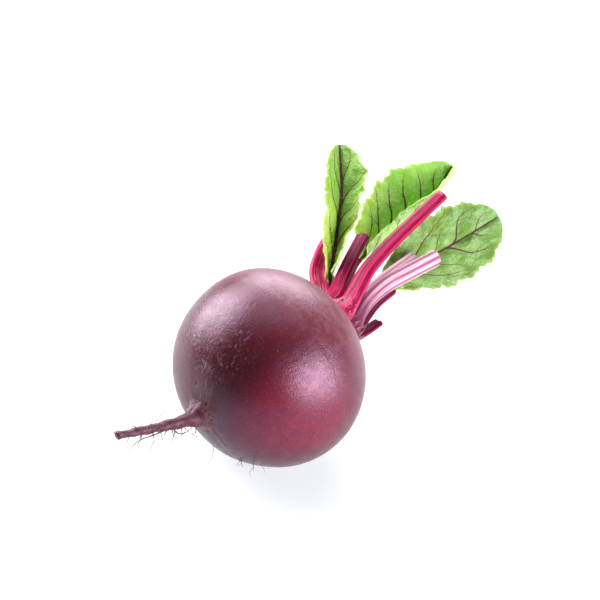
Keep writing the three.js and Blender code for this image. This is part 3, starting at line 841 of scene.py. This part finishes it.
def skin_coordinates(tree):
    """Millimetres along the root's axis, across it and up, from Object coordinates."""
    turn = Matrix.Rotation(CROWN_TILT, 3, "Y")
    shift = turn @ Vector((-REST_SHIFT, 0, -REST_HEIGHT))
    here = add_node(tree, "ShaderNodeTexCoord").outputs["Object"]
    return add_node(tree, "ShaderNodeMapping", {
        "Vector": here, "Location": shift, "Rotation": (0, CROWN_TILT, 0),
        "Scale": (1000, 1000, 1000)}).outputs[0]


def skin_material(settings):
    """Root skin: raspberry to burgundy, dusty toward the crown, with cork, scars and scratches, and
    with painted light on the lower right and painted shade on the front left and toward the bottom.
    """
    material, tree, shader = new_material("beet_skin")
    place_mm = skin_coordinates(tree)
    crown = attribute(tree, "crown")
    tail = attribute(tree, "tail")
    rim = attribute(tree, "rim")
    pit = attribute(tree, "pit")
    upper = attribute(tree, "upper")
    glow = attribute(tree, "glow")
    dark = attribute(tree, "dark")
    veil = attribute(tree, "veil")
    scuffed = attribute(tree, "scuff")
    low = attribute(tree, "low")
    clean = group_node(tree, blotches_group(), Vector=place_mm, Scale=0.06, Softness=0.2)
    mottle = group_node(tree, blotches_group(), Vector=place_mm, Scale=0.3, Softness=0.2)
    fine = group_node(tree, blotches_group(), Vector=place_mm, Scale=1.7, Softness=0.24)
    rings = add_node(tree, "ShaderNodeMapping", {"Vector": place_mm, "Scale": (2.6, 0.5, 0.5)})
    rings = noise_value(tree, rings.outputs[0], 0.9, detail=4.0)
    # Clean, deep and dusty parts, with painted light on the lower right and painted shade on the
    # front left and toward the bottom
    # Painted light: the glow mask brightens the lower right to raspberry, where the right light and
    # the floor's bounce fall, mixed with random clean patches
    painted_light_and_clean_share = added(tree, glow, product(
        tree, math_node(tree, "SUBTRACT", clean, 0.5), 0.3), clamp=True)
    # Painted shade: the dark mask turns the front left deep burgundy, where little light falls
    base = mix_colors(tree, dark, settings.middling, settings.deep)
    base = mix_colors(tree, painted_light_and_clean_share, base, settings.bright)
    base = mix_colors(tree, product(tree, mottle, 0.4), base, settings.deep)
    # Painted shade: darker toward the bottom, where the floor beneath lies in shadow
    base = mix_colors(tree, product(tree, low, 0.85), base, settings.deep)
    dusty = product(tree, upper, ranged(tree, mottle, 0.0, 1.0, 0.55, 0.9))
    base = mix_colors(tree, dusty, base, settings.dust)
    streak = ranged(tree, rings, 0.4, 0.66)
    base = mix_colors(tree, product(tree, streak, 0.36), base, settings.deep)
    brown = scaled(settings.cork, 0.5)
    base = mix_colors(tree, product(tree, veil, ranged(
        tree, mottle, 0.0, 1.0, 0.45, 0.85)), base, brown)
    # Scratches, specks and fine grain
    scratches = add_node(tree, "ShaderNodeMapping", {"Vector": place_mm, "Scale": (0.3, 1.6, 1.6)})
    scratches = noise_value(tree, scratches.outputs[0], 0.62, detail=4.0, distortion=0.4)
    scratched = product(tree, scuffed, ranged(tree, scratches, 0.54, 0.66))
    base = mix_colors(tree, product(tree, scratched, 0.9), base, settings.dust)
    dots = group_node(tree, specks_group(), Vector=place_mm, Scale=0.62, Size=0.2, Scarcity=0.8)
    base = mix_colors(tree, product(tree, dots, 0.5), base, brown)
    pale_dots = group_node(
        tree, specks_group(), Vector=place_mm, Scale=2.1, Size=0.3, Scarcity=0.6)
    base = mix_colors(tree, product(tree, pale_dots, 0.16), base, settings.dust)
    base = mix_colors(tree, ranged(tree, fine, 0.0, 1.0, 0.0, 0.35), base, settings.deep)
    grain = noise_value(tree, place_mm, 1.9, detail=2.0, roughness=0.7)
    base = mix_colors(tree, ranged(tree, grain, 0.5, 0.75, 0.0, 0.14), base, settings.dust)
    # Taproot, corky crown and scars
    root_end = mix_colors(tree, ranged(tree, mottle, 0.2, 0.8), settings.taproot, tuple(
        0.32 * (a + b) for a, b in zip(settings.deep, settings.bright)))
    root_end = mix_colors(tree, ranged(tree, rings, 0.5, 0.7, 0.0, 0.6), root_end, brown)
    base = mix_colors(tree, tail, base, root_end)
    cork_tone = mix_colors(tree, fine, settings.cork, scaled(settings.cork, 0.4))
    corky = ranged(tree, added(tree, crown, product(
        tree, math_node(tree, "SUBTRACT", mottle, 0.5), 0.5)), 0.35, 0.8)
    base = mix_colors(tree, product(tree, corky, 0.85), base, cork_tone)
    rimmed = product(tree, rim, ranged(tree, fine, 0.0, 1.0, 0.2, 0.75))
    base = mix_colors(tree, rimmed, base, scaled(settings.cork, 1.25))
    base = mix_colors(tree, pit, base, (0.014, 0.006, 0.006))
    tree.links.new(base, shader.inputs["Base Color"])
    # Shine and low relief
    worn = math_node(tree, "MAXIMUM", math_node(tree, "MAXIMUM", corky, rimmed), product(
        tree, tail, 0.35))
    rough = added(tree, ranged(tree, mottle, 0.0, 1.0, 0.26, 0.35), product(tree, worn, 0.3))
    dull = math_node(tree, "MAXIMUM", dusty, veil)
    rough = added(tree, rough, product(tree, dull, 0.1), clamp=True)
    tree.links.new(rough, shader.inputs["Roughness"])
    shader.inputs["Specular IOR Level"].default_value = 0.55
    shader.inputs["Specular Tint"].default_value = (1.0, 0.7, 1.0, 1)
    shader.inputs["Sheen Weight"].default_value = 0.04
    shader.inputs["Sheen Roughness"].default_value = 0.25
    shader.inputs["Sheen Tint"].default_value = (0.8, 0.35, 0.8, 1)
    height = product(tree, fine, 0.35)
    for relief, share in ((rings, 0.45), (dots, -0.6), (scratches, 0.7), (grain, 0.3)):
        height = added(tree, height, product(tree, relief, share))
    rugged = noise_value(tree, place_mm, 0.9, detail=6.0, roughness=0.7)
    height = added(tree, height, product(tree, product(tree, rugged, worn), 4.0))
    add_bump(tree, shader, height, 0.5, 0.0002)
    return material


def hair_material(settings):
    """Dull brown of the rootlets and hairs."""
    material, tree, shader = new_material("beet_hair")
    place_mm = skin_coordinates(tree)
    patch = group_node(tree, blotches_group(), Vector=place_mm, Scale=0.7, Softness=0.2)
    dark = scaled(settings.cork, 0.14)
    pale = scaled(settings.cork, 0.6)
    tree.links.new(mix_colors(tree, patch, dark, pale), shader.inputs["Base Color"])
    shader.inputs["Roughness"].default_value = 0.6
    add_bump(tree, shader, noise_value(tree, place_mm, 3.0), 0.4, 0.0001)
    return material


def stalk_material(name, look, pith):
    """Ribbed stalk skin. Streaks says how strongly the pale lines show, base_share how much
    of the foot's colour covers it and base_reach how far that goes up, shine how much
    the skin reflects. The foot's colour is partly the stalk's own colour and partly painted
    shade, dark plum where the stalks crowd at the crown."""
    ridge, groove, streak, streaks, foot_colour_and_shade, base_share, base_reach, shine = look
    material, tree, shader = new_material(name)
    grain = attribute(tree, "grain", "Vector")
    rib = attribute(tree, "rib")
    cut = attribute(tree, "cut")
    foot = ranged(tree, attribute(tree, "foot"), 1 - base_reach / 60, 0.9)
    long_grain = noise_value(tree, grain, 1.3, detail=4.0, roughness=0.6)
    fibres = noise_value(tree, grain, 2.2, detail=3.0, roughness=0.6)
    edge = added(tree, rib, product(
        tree, math_node(tree, "SUBTRACT", long_grain, 0.5), 0.9))
    base = mix_colors(tree, ranged(tree, edge, 0.3, 0.85), groove, ridge)
    lines = product(tree, ranged(tree, fibres, 0.54, 0.64), ranged(
        tree, foot, 0.0, 1.0, streaks, min(1.0, streaks + 0.5)))
    base = mix_colors(tree, lines, base, streak)
    # Toward the crown the foot's colour covers the stalk: partly its own colour, partly painted
    # shade where the stalks crowd together
    base = mix_colors(tree, product(tree, foot, base_share), base, foot_colour_and_shade)
    spots = group_node(tree, specks_group(), Vector=grain, Scale=0.55, Size=0.22, Scarcity=0.8)
    base = mix_colors(tree, product(tree, spots, 0.5), base, scaled(groove, 0.4))
    bundles = group_node(tree, specks_group(), Vector=grain, Scale=1.1, Size=0.3, Scarcity=0.35)
    cut_tone = mix_colors(tree, bundles, pith, ridge if sum(ridge) < 1.2 else groove)
    base = mix_colors(tree, cut, base, cut_tone)
    tree.links.new(base, shader.inputs["Base Color"])
    tree.links.new(ranged(tree, fibres, 0.3, 0.7, 0.28, 0.42), shader.inputs["Roughness"])
    shader.inputs["Specular IOR Level"].default_value = shine
    shader.inputs["Specular Tint"].default_value = (1.0, 0.55, 0.85, 1)
    shader.inputs["Subsurface Weight"].default_value = 0.08
    shader.inputs["Subsurface Radius"].default_value = (0.004, 0.0012, 0.0014)
    shader.inputs["Subsurface Scale"].default_value = 0.6
    height = added(tree, product(tree, fibres, 1.0), product(
        tree, long_grain, 0.7))
    add_bump(tree, shader, height, 0.5, 0.0003)
    return material


def leaf_material(name, green, yellow, vein, shaded, ageing, painted_glare):
    """Blade skin: veins, paler flush beside them, a yellow margin and pale patches of painted
    glare.
    """
    material, tree, shader = new_material(name)
    flat = attribute(tree, "flat", "Vector")
    veins = attribute(tree, "vein")
    margin = attribute(tree, "margin")
    old = attribute(tree, "old")
    broad = group_node(tree, blotches_group(), Vector=flat, Scale=0.09, Softness=0.2)
    cells = add_node(tree, "ShaderNodeTexVoronoi", {
        "Vector": flat, "Scale": 0.55}, feature="DISTANCE_TO_EDGE").outputs[0]
    small_cells = add_node(tree, "ShaderNodeTexVoronoi", {
        "Vector": flat, "Scale": 1.6}, feature="DISTANCE_TO_EDGE").outputs[0]
    net = ranged(tree, cells, 0.0, 0.09, 1.0, 0.0)
    base = mix_colors(tree, ranged(tree, broad, 0.0, 1.0, 0.1, 0.75), green, shaded)
    aged = added(tree, product(tree, margin, 0.45), product(
        tree, old, ageing), clamp=True)
    aged = product(tree, aged, ranged(tree, broad, 0.0, 1.0, 1.1, 0.7), clamp=True)
    base = mix_colors(tree, aged, base, yellow)
    # Painted reflection: pale bluish patches stand for the glare of the lights on the blade
    painted_glare_blotches = group_node(tree, blotches_group(), Vector=flat, Scale=0.13, Softness=0.12)
    base = mix_colors(tree, product(tree, painted_glare_blotches, painted_glare), base, (0.46, 0.66, 0.38))
    base = mix_colors(tree, product(tree, net, 0.25), base, scaled(green, 0.55))
    brown = group_node(tree, specks_group(), Vector=flat, Scale=0.5, Size=0.3, Scarcity=0.75)
    browned = product(tree, brown, ranged(tree, margin, 0.0, 1.0, 0.15, 0.8))
    base = mix_colors(tree, browned, base, (0.12, 0.05, 0.015))
    flush = ranged(tree, veins, 0.05, 0.5, 0.0, 0.35)
    base = mix_colors(tree, flush, base, yellow)
    base = mix_colors(tree, ranged(tree, veins, 0.15, 0.75), base, vein)
    tree.links.new(base, shader.inputs["Base Color"])
    tree.links.new(ranged(tree, broad, 0.0, 1.0, 0.33, 0.45), shader.inputs["Roughness"])
    shader.inputs["Subsurface Weight"].default_value = 1.0
    shader.inputs["Subsurface Radius"].default_value = (0.0008, 0.0012, 0.0005)
    shader.inputs["Subsurface Scale"].default_value = 0.8
    height = math_node(tree, "SUBTRACT", ranged(tree, cells, 0.0, 0.25), product(
        tree, ranged(tree, small_cells, 0.0, 0.2, 1.0, 0.0), 0.4))
    add_bump(tree, shader, height, 0.8, 0.0004)
    return material


def floor_material(settings):
    """Glowing table top: it fades out toward the viewer, and on the right a painted pool of light
    glows strongly where the right softbox grazes it.
    """
    material, tree, shader = new_material("floor")
    here = add_node(tree, "ShaderNodeTexCoord").outputs["Object"]
    toward = add_node(tree, "ShaderNodeVectorMath", {
        0: here, 1: (0.7071, 0.7071, 0.0)}, operation="DOT_PRODUCT").outputs["Value"]
    table = ranged(tree, toward, -0.2, -0.097)
    shade = mix_colors(tree, table, (0.02, 0.02, 0.022), settings.floor_color)
    tree.links.new(shade, shader.inputs["Base Color"])
    # Painted light: a pool of strong glow on the right, where the right softbox grazes the table
    # top; it also lights the root from below
    reach = add_node(tree, "ShaderNodeVectorMath", {
        0: here, 1: settings.painted_light_pool}, operation="DISTANCE").outputs["Value"]
    patch = ranged(tree, reach, 0.05, 0.15, 1.0, 0.0)
    glow = mix_colors(tree, table, (0.0, 0.0, 0.0), settings.floor_glow)
    glow = mix_colors(tree, patch, glow, (6.0, 6.2, 6.6))
    tree.links.new(glow, shader.inputs["Emission Color"])
    shader.inputs["Emission Strength"].default_value = 1.0
    shader.inputs["Roughness"].default_value = 0.6
    shader.inputs["Specular IOR Level"].default_value = 0.2
    return material


class BEETROOT_OT_stage(bpy.types.Operator):
    """Adds the pale floor, the soft lights and the camera"""

    bl_idname = "beetroot.stage"
    bl_label = "Add Stage"

    def execute(self, context):
        settings = context.scene.beetroot_stage
        bm = bmesh.new()
        bmesh.ops.create_grid(bm, x_segments=1, y_segments=1, size=settings.floor_size / 2)
        mesh = bpy.data.meshes.new("floor")
        bm.to_mesh(mesh)
        bm.free()
        mesh.materials.append(floor_material(settings))
        floor = bpy.data.objects.new("floor", mesh)
        context.scene.collection.objects.link(floor)
        middle = Vector((0.0, 0.0, 0.04))
        lights = (
            ("key_softbox", settings.key_power, 1.0, 0.8, Vector((0.1, 0.1, 1.2))),
            ("left_softbox", settings.left_power, 0.6, 0.8, Vector((-0.16, 0.74, 0.54))),
            ("right_softbox", settings.right_power, 0.33, 0.2, Vector((0.05, -0.4, 0.1))),
            ("back_softbox", settings.back_power, 0.9, 0.7, Vector((0.72, 0.5, 0.68))),
        )
        for name, power, width, height, spot in lights:
            light = bpy.data.lights.new(name, "AREA")
            light.shape = "RECTANGLE"
            light.size, light.size_y = width, height
            light.energy = power
            lamp = bpy.data.objects.new(name, light)
            lamp.matrix_world = Matrix.Translation(spot) @ (
                (spot - middle).to_track_quat("Z", "Y").to_matrix().to_4x4())
            context.scene.collection.objects.link(lamp)
        world = bpy.data.worlds.new("room")
        world.use_nodes = True
        background = world.node_tree.nodes["Background"]
        background.inputs["Color"].default_value = (0.93, 0.96, 1.0, 1)
        background.inputs["Strength"].default_value = settings.room
        context.scene.world = world
        context.scene.view_settings.view_transform = "Standard"
        camera = bpy.data.objects.new("camera", bpy.data.cameras.new("camera"))
        camera.data.lens = settings.focal_length
        right = Vector((0.7071, -0.7071, 0.0))
        back = Vector((-0.6243, -0.6243, 0.4695))
        up = back.cross(right)
        turn = Matrix((right, up, back)).transposed()
        camera.matrix_world = Matrix.Translation((-0.3719, -0.3864, 0.3502)) @ turn.to_4x4()
        context.scene.collection.objects.link(camera)
        context.scene.camera = camera
        return {"FINISHED"}


class BEETROOT_OT_root(bpy.types.Operator):
    """Adds the root with its crown, taproot and scars"""

    bl_idname = "beetroot.root"
    bl_label = "Add Root"

    def execute(self, context):
        settings = context.scene.beetroot_root
        stations = root_stations()
        bm = spun_profile(stations, root_profile(stations), settings.sides)
        base = corners(bm)
        across, along, up = base.T
        radius = np.hypot(across, up)
        around = np.arctan2(across, up)
        rims, pits = scar_relief(along, around, radius)
        relief = skin_relief(along, around) + taproot_knots(along, around)
        relief += settings.scar_height / MM * (rims - 1.9 * pits) * np.clip(radius / 9, 0.3, 1)
        on_taproot = smoothstep(-along, TAIL_LENGTH - 2, TAIL_LENGTH + 3)
        relief += on_taproot * 0.1 * np.sin(6.5 * along + 3 * np.sin(around))
        moved = radius + relief * np.minimum(1, radius / 2)
        shift_across, shift_up = taproot_offset(along)
        points = np.column_stack((
            moved * np.sin(around) + shift_across, along, moved * np.cos(around) + shift_up))
        world = to_world(points)
        outward = world[:, :2] @ np.array((np.cos(REST_EDGES), np.sin(REST_EDGES)))
        beyond = np.maximum(0, outward.max(axis=1) - REST_EDGE * MM)
        world[:, 2] = np.maximum(world[:, 2], REST_RISE * beyond)
        attributes = {
            "crown": smoothstep(along, 26, 33),
            "tail": smoothstep(-along, TAIL_LENGTH - 3, TAIL_LENGTH + 1.5),
            "rim": rims,
            "pit": smoothstep(pits, 0.35, 0.8),
            "upper": smoothstep(along + 0.55 * moved * np.cos(around), 2, 34) * 0.85,
            # Painted light: glow marks the lower right, lit by the right light and the floor's
            # bounce
            "glow": self.facing(points, (0.85, -0.5, -0.08), 0.66, 1.0),
            # Painted shade: dark marks the front left, where little light falls
            "dark": self.facing(points, (0.4, -0.85, 0.36), 0.8, 0.98),
            "veil": self.facing(points, (-0.3, -0.95, 0.1), 0.84, 0.98),
            "scuff": self.facing(points, (0.02, -0.67, 0.74), 0.86, 0.99),
            # Painted shade: low marks the bottom of the root, over the shadowed floor
            "low": 1 - smoothstep(world[:, 2], 5 * MM, 30 * MM),
        }
        place(bm, world)
        piece_from(bm, "root_skin", [skin_material(settings)], ["root"], attributes)
        return {"FINISHED"}

    def facing(self, points, direction, low, high):
        """From 0 to 1, how far places lie toward a direction from the root's middle."""
        return smoothstep(unit(points) @ unit(np.array(direction, float)), low, high)


class BEETROOT_OT_rootlets(bpy.types.Operator):
    """Adds the thicker rootlets of the solid and the fine hairs among them"""

    bl_idname = "beetroot.rootlets"
    bl_label = "Add Rootlets"

    def execute(self, context):
        settings = context.scene.beetroot_root
        bm = bmesh.new()
        self.add_rootlets(bm)
        self.add_hairs(bm, settings)
        for vertex in bm.verts:
            vertex.co.z = max(vertex.co.z, SMALLEST_HEIGHT)
        piece_from(bm, "rootlets", [hair_material(settings)])
        return {"FINISHED"}

    def add_rootlets(self, bm):
        state = DRAW_START

        def draw():
            nonlocal state
            state = (state * DRAW_FACTOR + DRAW_STEP) % DRAW_RANGE
            return state / DRAW_RANGE

        for i in range(13):
            along = -TAIL_LENGTH - 4 - (TAPROOT_LENGTH - 5) * ((i + 0.6 * draw()) / 13)
            side = math.pi if draw() < 0.6 else 0.0
            around = side + (draw() - 0.5) * math.radians(150)
            length = 5 + 6 * draw()
            self.add_thread(bm, along, around, length, draw() - 0.7, 0.2, 1.4)
        for i in range(6):
            along = -TAIL_LENGTH + 3 + 9 * draw()
            around = FURROW_ANGLES[i % 2] + (draw() - 0.5) * math.radians(14)
            length = 3.5 + 2 * draw()
            self.add_thread(bm, along, around, length, draw() - 0.7, 0.16, 1.4)

    def add_hairs(self, bm, settings):
        pick = random.Random(5)
        radius = settings.hair_radius / MM
        for i in range(settings.hairs):
            if i % 5:
                along = -TAIL_LENGTH - (TAPROOT_LENGTH - 4) * pick.random() ** 1.2
                around = math.radians(pick.choice((180, 180, 180, 0)) + pick.uniform(-80, 80))
            else:
                along = -TAIL_LENGTH + 1 + 12 * pick.random()
                around = FURROW_ANGLES[1 - i % 10 // 5] + pick.uniform(-0.25, 0.25)
            length = pick.uniform(2.5, 7.5)
            self.add_thread(
                bm, along, around, length, pick.uniform(-0.9, 0.5),
                radius * pick.uniform(0.6, 1.2), 0.6)
        for radius, points in HAIRS:
            self.add_curve(bm, Route(points), radius, 0.0)

    def add_thread(self, bm, along, around, length, lean, radius, sunk):
        outward = np.array((math.sin(around), 0, math.cos(around)))
        shift_across, shift_up = taproot_offset(along)
        skin = float(root_profile(along))
        start = np.array((shift_across, along, shift_up)) + outward * (skin - min(sunk, 0.7 * skin))
        direction = unit(outward + np.array((0, lean, 0)))
        droop = unit(np.array((0.4 * lean, lean - 0.4, -0.5)) + 0.5 * outward)
        bend = start + direction * length * 0.4
        curl = unit(droop + 0.9 * math.sin(9 * along) * np.array((math.cos(around), 0.4, 0)))
        self.add_curve(
            bm, Route((start, bend, bend + droop * length * 0.3, bend + length * 0.55 * curl)),
            radius, 0.35 * math.sin(5 * along))

    def add_curve(self, bm, route, radius, wave):
        """A thread of a circle along a route, thinner at its end and a little wavy."""
        column = unit_column(6, 22, cap=())
        base = corners(column)
        share = base[:, 2]
        point, _, side, front = route.frame(share, (0.31, 0.22, 0.93))
        thick = radius * (1 - 0.75 * share) * (1 + 0.18 * np.sin(31 * share + 9 * radius))
        sway = wave * np.sin(9 * share) * share
        points = point + side * (base[:, 0] * thick + sway)[:, None]
        points = points + front * (base[:, 1] * thick)[:, None]
        join_into(bm, column, to_world(points))


def stalk_points(column, route, width, inner, flare):
    """Points of a ribbed stalk, with the attributes that its material reads."""
    base = corners(column)
    share = base[:, 2]
    wall = np.hypot(base[:, 0], base[:, 1])
    angle = np.arctan2(base[:, 1], base[:, 0])
    run = share * route.length()
    point, tangent, side, front = route.frame(share, inner)
    wide = stalk_width(width, share) * (1 + flare * bell(run - 2, 8.5))
    fine_rib = 0.014 * np.cos(17 * angle + 0.8) + 0.008 * np.cos(29 * angle)
    rib = 1 + STALK_RIB * np.cos(STALK_RIBS * angle) + fine_rib
    channel = STALK_CHANNEL * bell(np.cos(angle), 0.5) * np.maximum(0, np.sin(angle))
    across = wide * rib * np.cos(angle) / 2 * wall
    deep = wide * rib * (STALK_HALF_DEPTH * np.sin(angle) - channel) * wall
    cut = smoothstep(1 - wall, 0.02, 0.12) * (share > 0.999)
    dish = 0.1 * wide * (1 - wall ** 2) * (share > 0.999)
    points = point + side * across[:, None] + front * deep[:, None]
    points = points - tangent * dish[:, None]
    attributes = {
        "grain": np.column_stack((across, deep, run * 0.06)),
        "rib": 0.5 + 0.32 * np.cos(STALK_RIBS * angle) + 0.2 * np.cos(17 * angle + 0.8),
        "cut": cut,
        "foot": np.clip(1 - run / 60, 0, 1),
    }
    return points, attributes


class BEETROOT_OT_cut_stalks(bpy.types.Operator):
    """Adds the nine cut stalks round the crown"""

    bl_idname = "beetroot.cut_stalks"
    bl_label = "Add Cut Stalks"

    def execute(self, context):
        settings = context.scene.beetroot_stalks
        materials = stalk_materials(settings)
        for node, (finish, width, inner, points) in CUT_STALKS.items():
            column = unit_column(settings.sides, settings.rings)
            points, attributes = stalk_points(
                column, Route(points), width, inner, settings.flare)
            place(column, to_world(points))
            piece_from(column, f"{node}_fine", [materials[finish]], [node], attributes)
        return {"FINISHED"}


class BEETROOT_OT_crown_scales(bpy.types.Operator):
    """Adds the dried remnants of old stalks among the feet of the others"""

    bl_idname = "beetroot.crown_scales"
    bl_label = "Add Crown Scales"

    def execute(self, context):
        settings = context.scene.beetroot_stalks
        pick = random.Random(8)
        bm = bmesh.new()
        gathered = {}
        for i in range(settings.scales):
            angle = 2 * math.pi * (i + 0.6 * pick.random()) / settings.scales
            outward = np.array((math.sin(angle), 0, math.cos(angle)))
            reach = pick.uniform(8.2, 10.6)
            length = pick.uniform(2.5, 6.5)
            start = outward * reach + np.array((0, 34.6, 0))
            middle = start + outward * 0.7 + np.array((0, 0.6 * length, 0))
            end = start + outward * pick.uniform(0.4, 2.2) + np.array((0, length, 0))
            column = unit_column(16, 8, cap=(0.7, 0.3))
            points, attributes = stalk_points(
                column, Route((start, middle, end)), (pick.uniform(2.4, 4.2), 0.8), -outward, 0)
            join_into(bm, column, to_world(points))
            for key, values in attributes.items():
                gathered.setdefault(key, []).append(values)
        attributes = {key: np.concatenate(values) for key, values in gathered.items()}
        piece_from(
            bm, "crown_scales", [stalk_materials(settings)["dried"]],
            attributes=attributes)
        return {"FINISHED"}


def stalk_materials(settings):
    """The finishes of the stalks, each made once."""
    magenta, plum, pale = settings.magenta, settings.plum, settings.pale
    dark_plum = scaled(plum, 0.3)
    looks = {
        "magenta": (
            magenta, scaled(magenta, 0.35), (0.9, 0.34, 0.5), 0.05,
            scaled(magenta, 0.5), 0.3, 24, 0.3),
        # Painted light: magenta made lighter, for the left stalk that the first leaf shades
        "painted_lit_magenta": (
            scaled(magenta, 1.45), scaled(magenta, 0.5), (0.95, 0.4, 0.6),
            0.3, magenta, 0.2, 24, 0.2),
        "plum": (
            scaled(plum, 1.3), scaled(plum, 0.4), (0.6, 0.08, 0.24), 0.08,
            scaled(magenta, 0.8), 0.55, 26, 0.04),
        "dried": (
            (0.16, 0.03, 0.05), (0.05, 0.012, 0.016), (0.4, 0.16, 0.16), 0.3, dark_plum, 0.2, 24,
            0.2),
        "shaded": (
            plum, dark_plum, (0.4, 0.05, 0.16), 0.05, dark_plum, 0.7, 24, 0.12),
        # The pale finishes darken to deep plum toward the crown: painted shade where the stalks
        # crowd together
        "pale": (
            pale, (0.30, 0.085, 0.17), (0.9, 0.7, 0.76), 0.05,
            (0.12, 0.009, 0.045), 1.0, 50, 0.3),
        # Painted light: the pale finish made lighter, for the upper pale stalk, which gets little
        # light
        "painted_lit_pale": (
            tuple(min(1.0, 1.45 * c) for c in pale), (0.62, 0.27, 0.4), (0.95, 0.8, 0.84), 0.2,
            (0.2, 0.02, 0.08), 0.85, 36, 0.3),
    }
    made = {}
    for finish, look in looks.items():
        name = f"stalk_{finish}"
        made[finish] = bpy.data.materials.get(name) or stalk_material(name, look, settings.pith)
    return made


class BEETROOT_OT_leaves(bpy.types.Operator):
    """Adds the three young leaves, each a stalk with its midrib and a veined blade"""

    bl_idname = "beetroot.leaves"
    bl_label = "Add Leaves"

    def execute(self, context):
        settings = context.scene.beetroot_leaves
        stalks = context.scene.beetroot_stalks
        materials = stalk_materials(stalks)
        for name, leaf in LEAVES.items():
            column = unit_column(28, 90)
            points, attributes = stalk_points(
                column, Route(leaf["route"]), leaf["width"], leaf["inner"], stalks.flare)
            place(column, to_world(points))
            piece_from(
                column, f"{name}_stalk_fine", [materials["plum"]], [f"{name}_stalk"],
                attributes)
            self.add_blade(name, leaf, settings)
        return {"FINISHED"}

    def add_blade(self, name, leaf, settings):
        bm = bmesh.new()
        bmesh.ops.create_grid(
            bm, x_segments=settings.columns, y_segments=settings.rows, size=0.5)
        base = corners(bm)
        across, share = 2 * base[:, 0], base[:, 1] + 0.5
        half = blade_half_width(leaf, across, share)
        across_mm = across * half
        along_mm = share * blade_length(leaf)
        veins, nearest = vein_masks(leaf, SIDE_VEINS[name], across_mm, along_mm)
        out = np.abs(across)
        pick = leaf["phase"]
        tooth = np.sin(2 * math.pi * along_mm / 3.1 + 2 * np.sin(along_mm / 5 + pick)) * 0.5 + 0.5
        trim = 1 - smoothstep(out, 0.7, 1.0) * 0.05 * tooth * np.clip(half / 10, 0.2, 1)
        swell = 1 - np.exp(-((nearest / 2.1) ** 2))
        small = np.sin(along_mm * 1.05 + 2 * np.sin(across_mm / 3))
        small = np.sin(across_mm * 1.15 + pick) * small
        puckered = settings.pucker / MM * (swell - 0.55 + 0.16 * small * swell)
        midrib_dip = 0.32 * bell(across_mm, 1.1)
        frill = 0.45 * out ** 4 * np.sin(along_mm * 1.25 + 2.5 * np.sin(along_mm / 6 + pick))
        relief = puckered - midrib_dip + frill * np.sin(math.pi * share)
        points = blade_surface(leaf, across, share, relief, trim)
        place(bm, to_world(points))
        attributes = {
            "flat": np.column_stack((across_mm, along_mm, np.zeros_like(share))),
            "vein": veins,
            "margin": smoothstep(out, 0.86, 1.0),
            "old": np.clip(1.2 - 1.8 * share, 0, 1) * (0.4 + 0.6 * (across < 0)),
        }
        # How much light or shade is painted into each leaf's green, and the ageing and painted
        # glare of its upper face
        looks = {
            "leaf_1": (0.93, 0.9, 0.15),
            "leaf_2": (1.08, 0.6, 0.25),
            "leaf_3": (0.58, 0.15, 0.4),
        }
        painted_light_gain, ageing, painted_glare = looks[name]
        green = tuple(painted_light_gain * c for c in settings.green)
        upper = leaf_material(
            f"{name}_upper", green, settings.yellow, settings.vein,
            scaled(green, 0.78), ageing, painted_glare)
        lower = leaf_material(
            f"{name}_under", settings.under, settings.yellow,
            scaled(settings.vein, 1.6), scaled(settings.under, 0.8), 0.3, 0.3)
        blade = piece_from(
            bm, f"{name}_blade_fine", [upper, lower], [f"{name}_blade"], attributes)
        self.face_inward(blade, leaf)
        solid = blade.modifiers.new("thickness", "SOLIDIFY")
        solid.thickness = settings.thickness
        solid.offset = 0
        solid.material_offset = 1

    def face_inward(self, blade, leaf):
        """Turns the sheet so that its upper face is the channelled side of the leaf."""
        inner = to_world(np.array([leaf["inner"], (0, 0, 0)]))
        inner = Vector(inner[0] - inner[1])
        mesh = blade.data
        facing = sum(face.normal.dot(inner) * face.area for face in mesh.polygons)
        if facing < 0:
            mesh.flip_normals()


class BEETROOT_PT_panel(bpy.types.Panel):
    """Lists the settings and the steps of the beetroot"""

    bl_label = "Beetroot"
    bl_space_type = "VIEW_3D"
    bl_region_type = "UI"
    bl_category = "Beetroot"

    def draw(self, context):
        layout = self.layout
        for group, operators in PANEL_ROWS:
            settings = getattr(context.scene, group)
            box = layout.box()
            for name in settings.bl_rna.properties.keys():
                if name not in ("rna_type", "name"):
                    box.prop(settings, name)
            for operator in operators:
                box.operator(operator.bl_idname)


PANEL_ROWS = (
    ("beetroot_stage", (BEETROOT_OT_stage,)),
    ("beetroot_root", (BEETROOT_OT_root, BEETROOT_OT_rootlets)),
    ("beetroot_stalks", (BEETROOT_OT_cut_stalks, BEETROOT_OT_crown_scales)),
    ("beetroot_leaves", (BEETROOT_OT_leaves,)),
)

SETTINGS = {
    "beetroot_stage": StageSettings,
    "beetroot_root": RootSettings,
    "beetroot_stalks": StalkSettings,
    "beetroot_leaves": LeafSettings,
}

CLASSES = (
    *SETTINGS.values(),
    BEETROOT_OT_stage,
    BEETROOT_OT_root,
    BEETROOT_OT_rootlets,
    BEETROOT_OT_cut_stalks,
    BEETROOT_OT_crown_scales,
    BEETROOT_OT_leaves,
    BEETROOT_PT_panel,
)


def register():
    for cls in CLASSES:
        bpy.utils.register_class(cls)
    for name, group in SETTINGS.items():
        setattr(bpy.types.Scene, name, PointerProperty(type=group))


def unregister():
    for name in SETTINGS:
        delattr(bpy.types.Scene, name)
    for cls in reversed(CLASSES):
        bpy.utils.unregister_class(cls)


def main():
    register()
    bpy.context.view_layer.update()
    bpy.ops.beetroot.stage()
    bpy.ops.beetroot.root()
    bpy.ops.beetroot.rootlets()
    bpy.ops.beetroot.cut_stalks()
    bpy.ops.beetroot.crown_scales()
    bpy.ops.beetroot.leaves()


if __name__ == "__main__":
    main()
